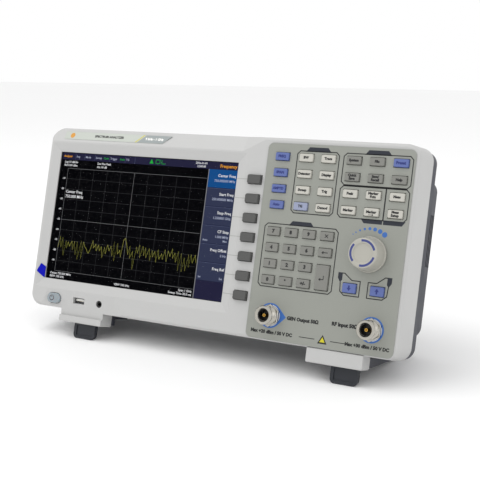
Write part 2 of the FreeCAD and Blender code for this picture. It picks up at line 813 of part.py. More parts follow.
def make_keys():
    """All the keys of the front."""
    single_keys([f"softkey_{number}" for number in range(1, 8)], SOFTKEYS,
                "softkey_wide", "softkey_high", "softkey_proud")
    single_keys(["frequency_key", "span_key", "amplitude_key", "auto_key"], MEASURE_KEYS,
                *FUNCTION, "function_proud")
    single_keys(DIGIT_NAMES, DIGIT_PLACES, *DIGIT, "function_proud")
    single_keys(["down_key", "up_key"], ARROW_KEYS, "arrow_wide", "arrow_high", "function_proud")
    key_cap("control_keys", CONTROL_KEYS, *FUNCTION, "function_proud")
    key_cap("system_keys", SYSTEM_KEYS, *FUNCTION, "function_proud")
    key_cap("preset_key", [("0", "0")], *FUNCTION, "function_proud", origin=PRESET_KEYS[0])
    key_cap("marker_keys", MARKER_KEYS, *FUNCTION, "function_proud")
    key_cap("power_key", [("0", "0")], "power_wide", "power_high", "power_proud",
            origin=("power_x", "power_z"), corner="power_high / 2 - 0.05", lip="0")


# ---------------------------------------------------------------- knob and encoder

def make_knob():
    """The encoder on the key board, and the knob with its shaft."""
    encoder = new_body("encoder")

    def block(sketch):
        rectangle(sketch, "12", "12", "knob_x", "knob_z")

    def bush(sketch):
        circle(sketch, "bush_radius", "knob_x", "knob_z")

    def hole(sketch):
        circle(sketch, "shaft_radius + shaft_gap", "knob_x", "knob_z")

    front_pad(encoder, block, "front_thick + 0.3", "4.6")
    front_pad(encoder, bush, "-panel_thick - 2", "panel_thick + 2 + front_thick + 1")
    front_cut(encoder, hole, "-panel_thick - 3", "panel_thick + 3 + front_thick + 3")

    knob = new_body("knob", x="knob_x", z="knob_z")
    foot = "-panel_thick - 0.5"

    def profile(sketch):
        outline(sketch, [("0", f"{foot} - knob_high + 2.6"), ("knob_top - 1.2", f"{foot} - knob_high + 1.4"),
                         ("knob_top", f"{foot} - knob_high"), ("knob_top + 1.2", f"{foot} - knob_high + 0.4"),
                         ("knob_radius - 0.6", f"{foot} - 3"), ("knob_radius", f"{foot} - 1.5"),
                         ("knob_radius", foot), ("bush_radius + 1.5", foot),
                         ("bush_radius + 1.5", f"{foot} - 4"), ("shaft_radius", f"{foot} - 4"),
                         ("shaft_radius", "front_thick + 1.6"), ("0", "front_thick + 1.6")])

    turn(knob, "Revolution", profile, "0", "0")


# ---------------------------------------------------------------- connectors

def hexagon(flats, x, z):
    """Corners of a hexagon with its flats a given width apart."""
    corners = []
    for index in range(6):
        turned = f"({30 + 60 * index})"
        corners.append((f"{x} + {flats} / sqrt(3) * cos{turned}", f"{z} + {flats} / sqrt(3) * sin{turned}"))
    return corners


def make_rf_connector(label, x):
    """A coaxial screw connector with its panel nut."""
    plug = new_body(label)
    nut_back = "-panel_thick - 0.1"

    def nut(sketch):
        outline(sketch, hexagon("nut_flats", x, "plug_z"))

    def profile(sketch):
        mouth = "-panel_thick - thread_end"
        bore_end = f"{mouth} + plug_bore_deep"
        relief = f"{nut_back} - nut_thick - 0.5"
        outline(sketch, [("plug_bore", mouth), ("thread_radius - 0.8", mouth),
                         ("thread_radius", f"{mouth} + 0.8"), ("thread_radius", relief),
                         ("thread_radius - 0.5", relief), ("thread_radius - 0.5", "front_thick + 4"),
                         ("5", "front_thick + 4"), ("5", "front_thick + 14"), ("0", "front_thick + 14"),
                         ("0", f"{mouth} + 2.6"), ("pin_radius", f"{mouth} + 2.6"),
                         ("pin_radius", bore_end), ("plug_bore", bore_end)])

    turn(plug, "Revolution", profile, x, "plug_z")
    front_pad(plug, nut, f"{nut_back} - nut_thick", "nut_thick")


def make_front_sockets():
    """USB host socket and headphone socket."""
    usb = new_body("usb_host_socket")
    start = "front_thick + 0.1"

    def shell(sketch):
        rectangle(sketch, "usb_wide + 0.9", "usb_high + 0.9", "usb_x", "usb_z")

    def cavity(sketch):
        rectangle(sketch, "usb_wide - 0.2", "usb_high - 0.2", "usb_x", "usb_z")

    def tongue(sketch):
        rectangle(sketch, "usb_wide - 1.6", "1.9", "usb_x", "usb_z + 0.9")

    front_pad(usb, shell, start, "14")
    front_cut(usb, cavity, "front_thick - 1", "12")
    front_pad(usb, tongue, f"{start} + 0.8", "12")

    jack = new_body("headphone_jack")

    def block(sketch):
        rectangle(sketch, "11", "9", "jack_x", "jack_z")

    def nose(sketch):
        circle(sketch, "jack_hole - 0.2", "jack_x", "jack_z")

    def bore(sketch):
        circle(sketch, "jack_bore", "jack_x", "jack_z")

    front_pad(jack, block, start, "13")
    front_pad(jack, nose, "shelf_deep", "front_thick")
    front_cut(jack, bore, "0", "front_thick + 10")


def make_rear_sockets():
    """Mains inlet, data sockets and BNC connectors in the back."""
    face = "case_deep"
    inlet = new_body("mains_inlet")
    x, z = INLET_PLACE

    def inlet_shell(sketch):
        rectangle(sketch, "27.2", "19.4", x, z)

    def inlet_flange(sketch):
        rectangle(sketch, "48", "24", x, z)

    def inlet_cavity(sketch):
        rectangle(sketch, "24.4", "16.4", x, z)

    def inlet_pins(sketch):
        rectangle(sketch, "2", "4", x, f"{z} + 3.5")
        rectangle(sketch, "2", "4", f"{x} - 7", f"{z} - 2.5")
        rectangle(sketch, "2", "4", f"{x} + 7", f"{z} - 2.5")

    front_pad(inlet, inlet_shell, f"{face} - 22", "22.2")
    flange = front_pad(inlet, inlet_flange, f"{face} + 0.1", "2.4")
    round_edges(inlet, flange, lambda edge: runs_along(edge, "y") and lies_near_flange(edge), "3")
    front_cut(inlet, inlet_cavity, f"{face} - 15", "20")
    front_pad(inlet, inlet_pins, f"{face} - 16", "11")

    data = new_body("data_sockets")

    def data_shells(sketch):
        rectangle(sketch, "15.8", "13.2", *LAN_PLACE)
        rectangle(sketch, "11.8", "10.8", *DEVICE_PLACE)

    def data_cavities(sketch):
        rectangle(sketch, "11.8", "8.2", LAN_PLACE[0], f"{LAN_PLACE[1]} - 0.6")
        rectangle(sketch, "8.6", "7.8", *DEVICE_PLACE)

    def device_tongue(sketch):
        rectangle(sketch, "5.6", "3.2", *DEVICE_PLACE)

    front_pad(data, data_shells, f"{face} - 18", "18.4")
    front_cut(data, data_cavities, f"{face} - 12", "14")
    front_pad(data, device_tongue, f"{face} - 13", "11")

    bnc = new_body("bnc_connectors")

    def barrels(sketch):
        for place in BNC_PLACES:
            circle(sketch, "4.8", *place)

    def nuts(sketch):
        for place in BNC_PLACES:
            outline(sketch, hexagon("14", *place))

    def bores(sketch):
        for place in BNC_PLACES:
            circle(sketch, "3.6", *place)

    def contacts(sketch):
        for place in BNC_PLACES:
            circle(sketch, "0.9", *place)

    def lugs(sketch):
        for bnc_x, bnc_z in BNC_PLACES:
            rectangle(sketch, "11.6", "2", bnc_x, bnc_z)

    front_pad(bnc, barrels, f"{face} - 14", "26")
    front_pad(bnc, nuts, f"{face} + 0.1", "2.4")
    front_pad(bnc, lugs, f"{face} + 7", "2")
    front_cut(bnc, bores, f"{face} + 3", "10")
    front_pad(bnc, contacts, f"{face} + 2", "8")


def lies_near_flange(edge):
    """Whether an edge belongs to the corners of the mains inlet's flange."""
    return edge.BoundBox.YMin > size("case_deep") and edge.Length < 2.6


# ---------------------------------------------------------------- inside

def make_boards():
    """Key board with its switches, main board, RF module, power supply and chassis."""
    board = new_body("key_board")
    board_front = "front_thick + 4.9"

    def board_sheet(sketch):
        span(sketch, "softkey_x - 11", "panel_right - 8", "32.5", "facet_low + 3.4")

    def corner_notch(sketch):
        circle(sketch, "2", "softkey_x - 6", "facet_low - 4")

    front_pad(board, board_sheet, board_front, "1.6")
    front_cut(board, corner_notch, f"{board_front} - 1", "4")
    for places, _, _ in KEY_GROUPS:
        def switches(sketch):
            for x, z in places:
                rectangle(sketch, "6", "6", x, z)
        front_pad(board, switches, f"{board_front} - 0.9", "1")

    main = plain_block("main_board", "190", "120", "-60", "86", "26", "1.6", "3")
    for x, z, wide, high, tall in ((-70, 90, 40, 40, 6), (0, 110, 24, 24, 4), (10, 70, 30, 18, 5)):
        def part(sketch, x=x, z=z, wide=wide, high=high):
            rectangle(sketch, f"{wide}", f"{high}", f"{x}", f"{z}")
        front_pad(main, part, "27", f"{tall}")

    rf_module = plain_block("rf_module", "126", "44", "113", "28", "front_thick + 14.5", "14", "2")

    def lid_rib(sketch):
        rectangle(sketch, "108", "30", "113", "28")

    front_pad(rf_module, lid_rib, "front_thick + 28", "1.6")

    supply = plain_block("power_supply", "104", "58", "-96", "94", "44", "38", "2")

    def heat_sink(sketch):
        for index in range(6):
            rectangle(sketch, "2", "50", f"-136 + {index} * 6", "94")

    front_pad(supply, heat_sink, "81", "10")

    chassis = new_body("chassis")

    def web(sketch):
        span(sketch, "-166", "30", "24", "158")

    def window(sketch):
        rectangle(sketch, "60", "40", "-40", "120")

    def shelf(sketch):
        span(sketch, "-150", "30", "22.6", "24")

    front_pad(chassis, web, "19", "1.4")
    front_cut(chassis, window, "18", "4")
    front_pad(chassis, shelf, "19", "60")


def make_fan():
    """The fan's frame and its rotor, behind the slots in the back."""
    frame = new_body("fan_frame")
    fan_x, fan_z = FAN_PLACE
    back = "case_deep - shell_thick - 0.4"

    def square(sketch):
        rectangle(sketch, "60", "60", fan_x, fan_z)

    def throat(sketch):
        circle(sketch, "28", fan_x, fan_z)

    def hub(sketch):
        circle(sketch, "11", fan_x, fan_z)

    def spokes(sketch):
        rectangle(sketch, "60", "3", fan_x, fan_z)

    def spindle_hole(sketch):
        circle(sketch, "1.55", fan_x, fan_z)

    pad = front_pad(frame, square, f"{back} - 15", "15")
    round_edges(frame, pad, lambda edge: runs_along(edge, "y"), "4")
    front_cut(frame, throat, f"{back} - 16", "17")
    front_pad(frame, spokes, f"{back} - 2.4", "2.4")
    front_pad(frame, hub, f"{back} - 3", "3")
    front_cut(frame, spindle_hole, f"{back} - 4", "5")

    rotor = new_body("fan_rotor", x=fan_x, y=f"{back} - 15", z=fan_z)

    def rotor_hub(sketch):
        circle(sketch, "11", "0", "0")

    def spindle(sketch):
        circle(sketch, "1.5", "0", "0")

    front_pad(rotor, rotor_hub, "1", "10.6")
    front_pad(rotor, spindle, "11", "3.6")
    blade = new_sketch(rotor, "XZ_Plane", "1.5")
    rectangle(blade, "18", "1.6", "18", "0")
    first = feature(rotor, "Pad", blade, "9.5", flip=True)
    pattern = rotor.newObject("PartDesign::PolarPattern", "blades")
    pattern.Originals = [first]
    pattern.Axis = (blade, ["N_Axis"])
    pattern.Angle = 360
    pattern.Occurrences = 7
    rotor.Tip = pattern


FAN_PLACE = ("103.6", "118")


# ---------------------------------------------------------------- feet, handle, screws

def make_foot(label, x):
    """A flip-out foot: plate, hinge barrel and two pin stubs."""
    foot = new_body(label, x=x, y="hinge_y", z="hinge_z")
    front = "foot_front - hinge_y"
    rear = "foot_front + foot_thick - hinge_y"
    tip = "foot_tip - hinge_z"

    def plate(sketch):
        outline(sketch, [(front, "0"), (front, tip), (rear, f"{tip} + foot_thick * tan(lean_angle)"),
                         (rear, "0")])

    def barrel(sketch):
        circle(sketch, "hinge_radius", "0", "0")

    def stubs(sketch):
        circle(sketch, "hinge_pin", "0", "0")

    def hollow(sketch):
        rectangle(sketch, "foot_wide - 6", "9.4", "0", f"{tip} + 7.6")

    def both_sides(draw, wide):
        sketch = new_sketch(foot, "YZ_Plane", "0")
        draw(sketch)
        return feature(foot, "Pad", sketch, wide, both=True)

    pad = both_sides(plate, "foot_wide")
    low = size("foot_tip") - size("hinge_z") + 2
    round_edges(foot, pad, lambda edge: runs_along(edge, "y") and edge.BoundBox.ZMax < low, "4")
    both_sides(barrel, "foot_wide")
    both_sides(stubs, "foot_wide + 2 * hinge_stub")
    front_cut(foot, hollow, f"{front} - 1", "1.8")


def make_handle():
    """The folding carrying handle, lying on the top behind the bezel."""
    handle = new_body("carrying_handle", y="handle_pivot_y", z="handle_pivot_z")
    inner = "handle_reach - handle_thick"

    def bail(sketch):
        span(sketch, "-handle_reach", "handle_reach", "-handle_thick / 2", "handle_long")

    def gap(sketch):
        span(sketch, f"-({inner})", inner, "-handle_thick", "handle_long - 10")

    sketch = new_sketch(handle, "XY_Plane", "-handle_thick / 2")
    bail(sketch)
    pad = feature(handle, "Pad", sketch, "handle_thick")
    long_way = size("handle_long")
    round_edges(handle, pad, lambda edge: runs_along(edge, "z")
                and edge.BoundBox.YMin > long_way - 0.1, "10")
    sketch = new_sketch(handle, "XY_Plane", "-handle_thick")
    gap(sketch)
    cut = feature(handle, "Pocket", sketch, "handle_thick * 2", flip=True)
    round_edges(handle, cut, lambda edge: edge.Length > 20 and edge.BoundBox.ZLength < 0.1, "1.6")
    for side in (1, -1):
        sketch = new_sketch(handle, "YZ_Plane", f"{side} * (handle_reach - 1)")
        circle(sketch, "handle_pin", "0", "0")
        feature(handle, "Pad", sketch, "12.6", flip=side < 0)


def make_rear_feet():
    """Rubber pads under the rear ends of the two skids."""
    pads = new_body("rear_feet")
    ground_at = "foot_tip - foot_front * tan(lean_angle)"
    pad_end = "case_deep - 1.4"
    for left, right in (("left_boss_from", "left_boss_from + 10"), ("right_boss_to - 4.2", "right_boss_to")):
        def pad(sketch):
            outline(sketch, [("90", "0.7"), ("90", f"{ground_at} + 90 * tan(lean_angle)"),
                             (pad_end, f"{ground_at} + ({pad_end}) * tan(lean_angle)"), (pad_end, "4.5")])
        side_pad(pads, pad, f"{left} + 0.6", f"{right} - ({left}) - 1.2")


def make_screws():
    """Case screws in the back."""
    screws = new_body("case_screws")

    def heads(sketch):
        for x, z in SCREW_PLACES:
            circle(sketch, "3.2", x, z)

    def shanks(sketch):
        for x, z in SCREW_PLACES:
            circle(sketch, "1.5", x, z)

    def sockets(sketch):
        for x, z in SCREW_PLACES:
            outline(sketch, hexagon("2.4", x, z))

    front_pad(screws, heads, "case_deep + 0.05", "1.9")
    front_pad(screws, shanks, "case_deep - 12", "12.5")
    front_cut(screws, sockets, "case_deep + 1", "2")


# ---------------------------------------------------------------- build and export

def stand_on_ground():
    """Shift the leaned assembly so that its box stands centred on the origin."""
    DOC.recompute()
    box = FreeCAD.BoundBox()
    for body in BODIES.values():
        box.add(body.Shape.optimalBoundingBox(False))
    STANCE.set("B1", str(-(box.YMin + box.YMax) / 2))
    STANCE.set("B2", str(-box.ZMin))
    DOC.recompute()


def check_and_export():
    """Stop on a failed object, else write each sub-part's file."""
    for item in DOC.Objects:
        if "Invalid" in item.State or "Error" in item.State:
            raise RuntimeError(f"{item.Name} failed: {item.State}")
    for name, body in BODIES.items():
        if body.Shape.isNull() or not body.Shape.isValid():
            raise RuntimeError(f"{name} has no valid shape")
    os.makedirs("parts", exist_ok=True)
    for name, body in BODIES.items():
        body.Shape.exportStep(f"parts/{name}.step")
    print(len(BODIES), "sub-parts, shifted by", size_of_shift())


def size_of_shift():
    """How far the leaned assembly was moved to stand on the origin."""
    return float(STANCE.shift_back), float(STANCE.shift_up)


make_bezel()
make_cover()
make_panel()
make_display()
make_keys()
make_knob()
make_rf_connector("rf_input_connector", "input_x")
make_rf_connector("gen_output_connector", "output_x")
make_front_sockets()
make_rear_sockets()
make_boards()
make_fan()
make_foot("left_foot", "left_foot_x")
make_foot("right_foot", "right_foot_x")
make_handle()
make_rear_feet()
make_screws()
stand_on_ground()
check_and_export()
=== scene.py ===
"""Looks of a bench spectrum analyzer: moulded case, printed key panel, lit display, sockets and studio.

Lengths in the builders are millimetres of the upright case: x to the right from its middle, y from
the panel's printed face plane to the rear, z up from its underside. CASE turns them into the frame.
"""
import json
import math
import random

import bmesh
import bpy
from bpy.props import FloatProperty, FloatVectorProperty, IntProperty, PointerProperty
from mathutils import Matrix, Vector


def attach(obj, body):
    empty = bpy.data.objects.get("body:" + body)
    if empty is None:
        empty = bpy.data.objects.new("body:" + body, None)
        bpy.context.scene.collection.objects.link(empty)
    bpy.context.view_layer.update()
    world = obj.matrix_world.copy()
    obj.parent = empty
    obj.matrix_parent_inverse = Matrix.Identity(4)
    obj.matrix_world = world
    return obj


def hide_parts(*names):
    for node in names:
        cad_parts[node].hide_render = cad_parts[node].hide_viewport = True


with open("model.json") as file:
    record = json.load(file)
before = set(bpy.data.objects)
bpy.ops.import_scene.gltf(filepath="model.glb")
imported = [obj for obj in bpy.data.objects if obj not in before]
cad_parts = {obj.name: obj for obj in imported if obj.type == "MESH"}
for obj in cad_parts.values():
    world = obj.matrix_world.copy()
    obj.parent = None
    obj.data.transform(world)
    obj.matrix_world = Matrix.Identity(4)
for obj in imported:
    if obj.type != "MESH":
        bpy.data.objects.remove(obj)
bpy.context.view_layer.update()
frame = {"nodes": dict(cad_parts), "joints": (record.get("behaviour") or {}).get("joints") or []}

bl_info = {
    "name": "Spectrum Analyzer Looks",
    "version": (1, 0, 0),
    "blender": (4, 5, 0),
    "location": "View3D > Sidebar > Analyzer",
    "description": "Materials, printing, display picture and fine parts of a bench spectrum analyzer",
    "category": "Object",
}

CASE_HIGH = 175.5
PANEL_THICK = 0.8

RIGHT = Vector((1, 0, 0))
INWARD = Vector(next(joint["axis"] for joint in frame["joints"] if joint["name"] == "softkey_1_press"))
UPWARD = RIGHT.cross(INWARD)


def farthest(node, direction):
    """How far a node reaches along a direction, in metres."""
    return max(vertex.co.dot(direction) for vertex in frame["nodes"][node].data.vertices)


FRONT_PLANE = farthest("key_panel", INWARD)
UNDERSIDE = farthest("front_bezel", UPWARD) - CASE_HIGH / 1000
CASE = Matrix.Translation(INWARD * FRONT_PLANE + UPWARD * UNDERSIDE) @ Matrix(
    ((RIGHT.x, INWARD.x, UPWARD.x, 0), (RIGHT.y, INWARD.y, UPWARD.y, 0),
     (RIGHT.z, INWARD.z, UPWARD.z, 0), (0, 0, 0, 1))) @ Matrix.Scale(0.001, 4)
TO_CASE = CASE.inverted()
FACING = Matrix(((1, 0, 0, 0), (0, 0, -1, 0), (0, 1, 0, 0), (0, 0, 0, 1)))
FACING_BACK = Matrix(((-1, 0, 0, 0), (0, 0, 1, 0), (0, 1, 0, 0), (0, 0, 0, 1)))

SOFTKEYS = [f"softkey_{number}" for number in range(1, 8)]
MEASURE_KEYS = ["frequency_key", "span_key", "amplitude_key", "auto_key"]
ARROW_KEYS = ["down_key", "up_key"]
DIGITS = [f"digit_{number}" for number in range(10)]
PAD_KEYS = DIGITS + ["point_key", "sign_key", "cancel_key", "back_key", "enter_key"]
CONTROL_GRID = (2, 4)
SYSTEM_GRID = (3, 2, (2,))
MARKER_GRID = (3, 2)
LEGEND_BOLD = 0.065


def case_box(node):
    """Lowest and highest corner of a node in the case's own millimetres."""
    points = [TO_CASE @ vertex.co for vertex in frame["nodes"][node].data.vertices]
    return (Vector([min(point[axis] for point in points) for axis in range(3)]),
            Vector([max(point[axis] for point in points) for axis in range(3)]))


def case_middle(node):
    """Centre of a node's box in the case's own millimetres."""
    low, high = case_box(node)
    return (low + high) / 2


def tone(code):
    """A display colour written as six hex digits, as scene-linear values."""
    parts = [int(code[index:index + 2], 16) / 255 for index in (0, 2, 4)]
    return tuple(part / 12.92 if part <= 0.04045 else ((part + 0.055) / 1.055) ** 2.4 for part in parts)


# ------------------------------------------------------------------ settings

def colour_setting(name, description, code):
    """A colour that the panel shows."""
    return FloatVectorProperty(name=name, description=description, subtype="COLOR", size=3,
                               min=0.0, max=1.0, default=tone(code))


def length_setting(name, description, metres):
    """A length that the panel shows."""
    return FloatProperty(name=name, description=description, unit="LENGTH", default=metres, min=0.0)


class AnalyzerColours(bpy.types.PropertyGroup):
    """Colours of the mouldings, the printing and the metal."""
    bezel: colour_setting("Bezel", "Light moulding of the front", "B8B8B7")
    shell: colour_setting("Rear shell", "Dark moulding behind the bezel", "34363F")
    panel: colour_setting("Key panel", "Printed overlay round the keys", "8E9089")
    softkey: colour_setting("Softkeys", "Keys beside the display", "4E4E4D")
    grey_key: colour_setting("Grey keys", "Number and system keys", "7B7B76")
    light_key: colour_setting("Light keys", "Control and marker keys", "BAB8B0")
    blue_key: colour_setting("Blue keys", "Main, preset and arrow keys", "56659E")
    pale_key: colour_setting("Generator key", "The one pale blue key", "8E95AE")
    ink: colour_setting("Ink", "Dark print of legends and outlines", "08090B")
    tab_ink: colour_setting("Tab ink", "Slate tabs on the group outlines", "151B28")
    label_blue: colour_setting("Label blue", "Round labels behind the connectors", "3566AE")
    knob: colour_setting("Knob", "Ivory moulding of the knob", "A8A69D")
    knob_print: colour_setting("Knob arcs", "Printed arcs on the knob", "353F7A")
    foot: colour_setting("Feet", "Slate moulding of the flip-out feet", "1B1F27")
    film: colour_setting("Film tab", "Pull tab of the protective film", "0006A8")


class AnalyzerSizes(bpy.types.PropertyGroup):
    """Sizes of the fine parts."""
    print_thick: length_setting("Print thickness", "Height of ink above its surface", 0.00004)
    outline_wide: length_setting("Outline width", "Width of the lines round key groups", 0.0008)
    legend_high: length_setting("Legend height", "Letter size on function keys", 0.0029)
    digit_high: length_setting("Digit height", "Letter size on the number keys", 0.0041)
    thread_pitch: length_setting("Thread pitch", "Pitch of the coaxial connector thread", 0.00106)
    trace_seed: IntProperty(name="Trace seed", description="Noise of the displayed trace", default=11)


class AnalyzerStudio(bpy.types.PropertyGroup):
    """Camera and light."""
    lens: FloatProperty(name="Lens", description="Focal length on a 36 mm sensor", default=72.5, min=10.0)
    distance: length_setting("Distance", "From the camera to the point it looks at", 0.8303)
    sky: FloatProperty(name="Room light", description="Strength of the even room light", default=1.0,
                       min=0.0)
    key_power: FloatProperty(name="Key light", description="Power of the large soft light", default=12.0,
                             min=0.0, unit="POWER")
    fill_power: FloatProperty(name="Fill light", description="Power of the side light", default=1.5,
                              min=0.0, unit="POWER")


# ------------------------------------------------------------------ node groups and materials

def new_group(name, inputs, outputs):
    """An empty shader group with its sockets and its two end nodes."""
    group = bpy.data.node_groups.new(name, "ShaderNodeTree")
    for socket, kind, default in inputs:
        item = group.interface.new_socket(name=socket, in_out="INPUT", socket_type=kind)
        item.default_value = default
    for socket, kind in outputs:
        group.interface.new_socket(name=socket, in_out="OUTPUT", socket_type=kind)
    return group, group.nodes.new("NodeGroupInput"), group.nodes.new("NodeGroupOutput")


def add_node(tree, kind, settings=None, **values):
    """A node with its properties set, and its sockets set by name."""
    node = tree.nodes.new(kind)
    for word, value in (settings or {}).items():
        setattr(node, word, value)
    for socket, value in values.items():
        node.inputs[socket.replace("_", " ")].default_value = value
    return node


def math_node(tree, operation, first, second=None, clamp=False):
    """A math node on sockets or numbers."""
    node = add_node(tree, "ShaderNodeMath", {"operation": operation, "use_clamp": clamp})
    for index, value in enumerate((first, second)):
        if value is None:
            continue
        if isinstance(value, (int, float)):
            node.inputs[index].default_value = value
        else:
            tree.links.new(value, node.inputs[index])
    return node.outputs[0]


def noise_node(tree, vector, scale, detail=3.0, roughness=0.55):
    """Noise over the object's own coordinates; the scale may be a socket."""
    node = add_node(tree, "ShaderNodeTexNoise", Detail=detail, Roughness=roughness)
    tree.links.new(vector, node.inputs["Vector"])
    if isinstance(scale, (int, float)):
        node.inputs["Scale"].default_value = scale
    else:
        tree.links.new(scale, node.inputs["Scale"])
    return node.outputs["Fac"]


def mix_colour(tree, blend, factor, first, second):
    """A colour mix; factor, first and second are sockets or values."""
    node = add_node(tree, "ShaderNodeMix", {"data_type": "RGBA", "blend_type": blend})
    for socket, value in ((0, factor), (6, first), (7, second)):
        if hasattr(value, "is_linked"):
            tree.links.new(value, node.inputs[socket])
        else:
            node.inputs[socket].default_value = value
    return node.outputs[2]


def make_moulding_group():
    """Moulded plastic: spark-eroded grain, slow mottling, and dust on faces that look up."""
    group, given, made = new_group("Moulded surface", [
        ("Colour", "NodeSocketColor", (0.5, 0.5, 0.5, 1)),
        ("Mottle", "NodeSocketFloat", 0.04),
        ("Grain scale", "NodeSocketFloat", 1600.0),
        ("Roughness", "NodeSocketFloat", 0.5),
        ("Dust", "NodeSocketFloat", 0.05),
    ], [("Colour", "NodeSocketColor"), ("Roughness", "NodeSocketFloat"), ("Height", "NodeSocketFloat")])
    place = add_node(group, "ShaderNodeTexCoord").outputs["Object"]
    grain = noise_node(group, place, given.outputs["Grain scale"], 2.0)
    patches = noise_node(group, place, 22.0, 4.0)
    specks = noise_node(group, place, 900.0, 1.0)
    facing = add_node(group, "ShaderNodeNewGeometry").outputs["Normal"]
    split = add_node(group, "ShaderNodeSeparateXYZ")
    group.links.new(facing, split.inputs[0])
    swing = math_node(group, "MULTIPLY", math_node(group, "SUBTRACT", patches, 0.5), given.outputs["Mottle"])
    fine = math_node(group, "MULTIPLY", math_node(group, "SUBTRACT", grain, 0.5), given.outputs["Mottle"])
    shade = math_node(group, "ADD", math_node(group, "ADD", swing, 1.0), fine)
    scaled = add_node(group, "ShaderNodeVectorMath", {"operation": "SCALE"})
    group.links.new(given.outputs["Colour"], scaled.inputs[0])
    group.links.new(shade, scaled.inputs["Scale"])
    lying = math_node(group, "MULTIPLY", split.outputs["Z"], 1.0, clamp=True)
    settled = math_node(group, "MULTIPLY", math_node(group, "POWER", lying, 2.0), specks)
    dust = math_node(group, "MULTIPLY", settled, given.outputs["Dust"], clamp=True)
    dusty = mix_colour(group, "MIX", dust, scaled.outputs[0], (*tone("B9B4A8"), 1))
    group.links.new(dusty, made.inputs["Colour"])
    rough = math_node(group, "MULTIPLY", math_node(group, "ADD", patches, 0.5), given.outputs["Roughness"])
    group.links.new(math_node(group, "ADD", rough, dust, clamp=True), made.inputs["Roughness"])
    group.links.new(grain, made.inputs["Height"])
    return group


def make_metal_group():
    """Plated or brushed metal: fine lines one way, cloudy roughness and faint stains."""
    group, given, made = new_group("Plated surface", [
        ("Colour", "NodeSocketColor", (0.7, 0.7, 0.7, 1)),
        ("Roughness", "NodeSocketFloat", 0.25),
        ("Line scale", "NodeSocketFloat", 900.0),
        ("Stain", "NodeSocketFloat", 0.15),
    ], [("Colour", "NodeSocketColor"), ("Roughness", "NodeSocketFloat"), ("Height", "NodeSocketFloat")])
    place = add_node(group, "ShaderNodeTexCoord").outputs["Object"]
    stretch = add_node(group, "ShaderNodeMapping", Scale=(1.0, 14.0, 14.0))
    group.links.new(place, stretch.inputs["Vector"])
    lines = noise_node(group, stretch.outputs[0], given.outputs["Line scale"], 2.0)
    clouds = noise_node(group, place, 160.0, 4.0)
    stain = math_node(group, "MULTIPLY", clouds, given.outputs["Stain"])
    tinted = mix_colour(group, "MULTIPLY", stain, given.outputs["Colour"], (*tone("8C7A5E"), 1))
    group.links.new(tinted, made.inputs["Colour"])
    rough = math_node(group, "MULTIPLY", math_node(group, "ADD", clouds, 0.55), given.outputs["Roughness"])
    group.links.new(rough, made.inputs["Roughness"])
    group.links.new(lines, made.inputs["Height"])
    return group


def new_material(name):
    """A material with its own shader."""
    material = bpy.data.materials.new(name)
    material.use_nodes = True
    return material


def surface(name, group, colour, roughness, bump=0.1, bump_mm=0.02, metal=0.0, **inputs):
    """A material that places a shared surface group with its own values."""
    material = new_material(name)
    tree = material.node_tree
    shader = tree.nodes["Principled BSDF"]
    shader.inputs["Metallic"].default_value = metal
    placed = add_node(tree, "ShaderNodeGroup", {"node_tree": group})
    placed.inputs["Colour"].default_value = (*colour, 1)
    placed.inputs["Roughness"].default_value = roughness
    for word, value in inputs.items():
        placed.inputs[word.replace("_", " ").capitalize()].default_value = value
    tree.links.new(placed.outputs["Colour"], shader.inputs["Base Color"])
    tree.links.new(placed.outputs["Roughness"], shader.inputs["Roughness"])
    relief = add_node(tree, "ShaderNodeBump", Strength=bump, Distance=bump_mm / 1000)
    tree.links.new(placed.outputs["Height"], relief.inputs["Height"])
    tree.links.new(relief.outputs[0], shader.inputs["Normal"])
    return material


def set_shader(material, **values):
    """Set constants on the material's own shader."""
    shader = material.node_tree.nodes["Principled BSDF"]
    for word, value in values.items():
        shader.inputs[word.replace("_", " ")].default_value = value
    return material


def lit(name, colour, strength=1.0, flicker=0.06):
    """A lit picture element of the display, with its faint dot structure."""
    material = new_material(name)
    tree = material.node_tree
    place = add_node(tree, "ShaderNodeTexCoord").outputs["Object"]
    dots = noise_node(tree, place, 2600.0, 1.0)
    dim = math_node(tree, "ADD", math_node(tree, "MULTIPLY", dots, flicker), 1.0 - flicker / 2)
    shown = add_node(tree, "ShaderNodeVectorMath", {"operation": "SCALE"})
    shown.inputs[0].default_value = colour
    tree.links.new(dim, shown.inputs["Scale"])
    tree.links.new(shown.outputs[0], tree.nodes["Principled BSDF"].inputs["Emission Color"])
    return set_shader(material, Emission_Strength=strength, Base_Color=(0, 0, 0, 1),
                      Specular_IOR_Level=0.02, Roughness=0.6)


MATERIALS = {}


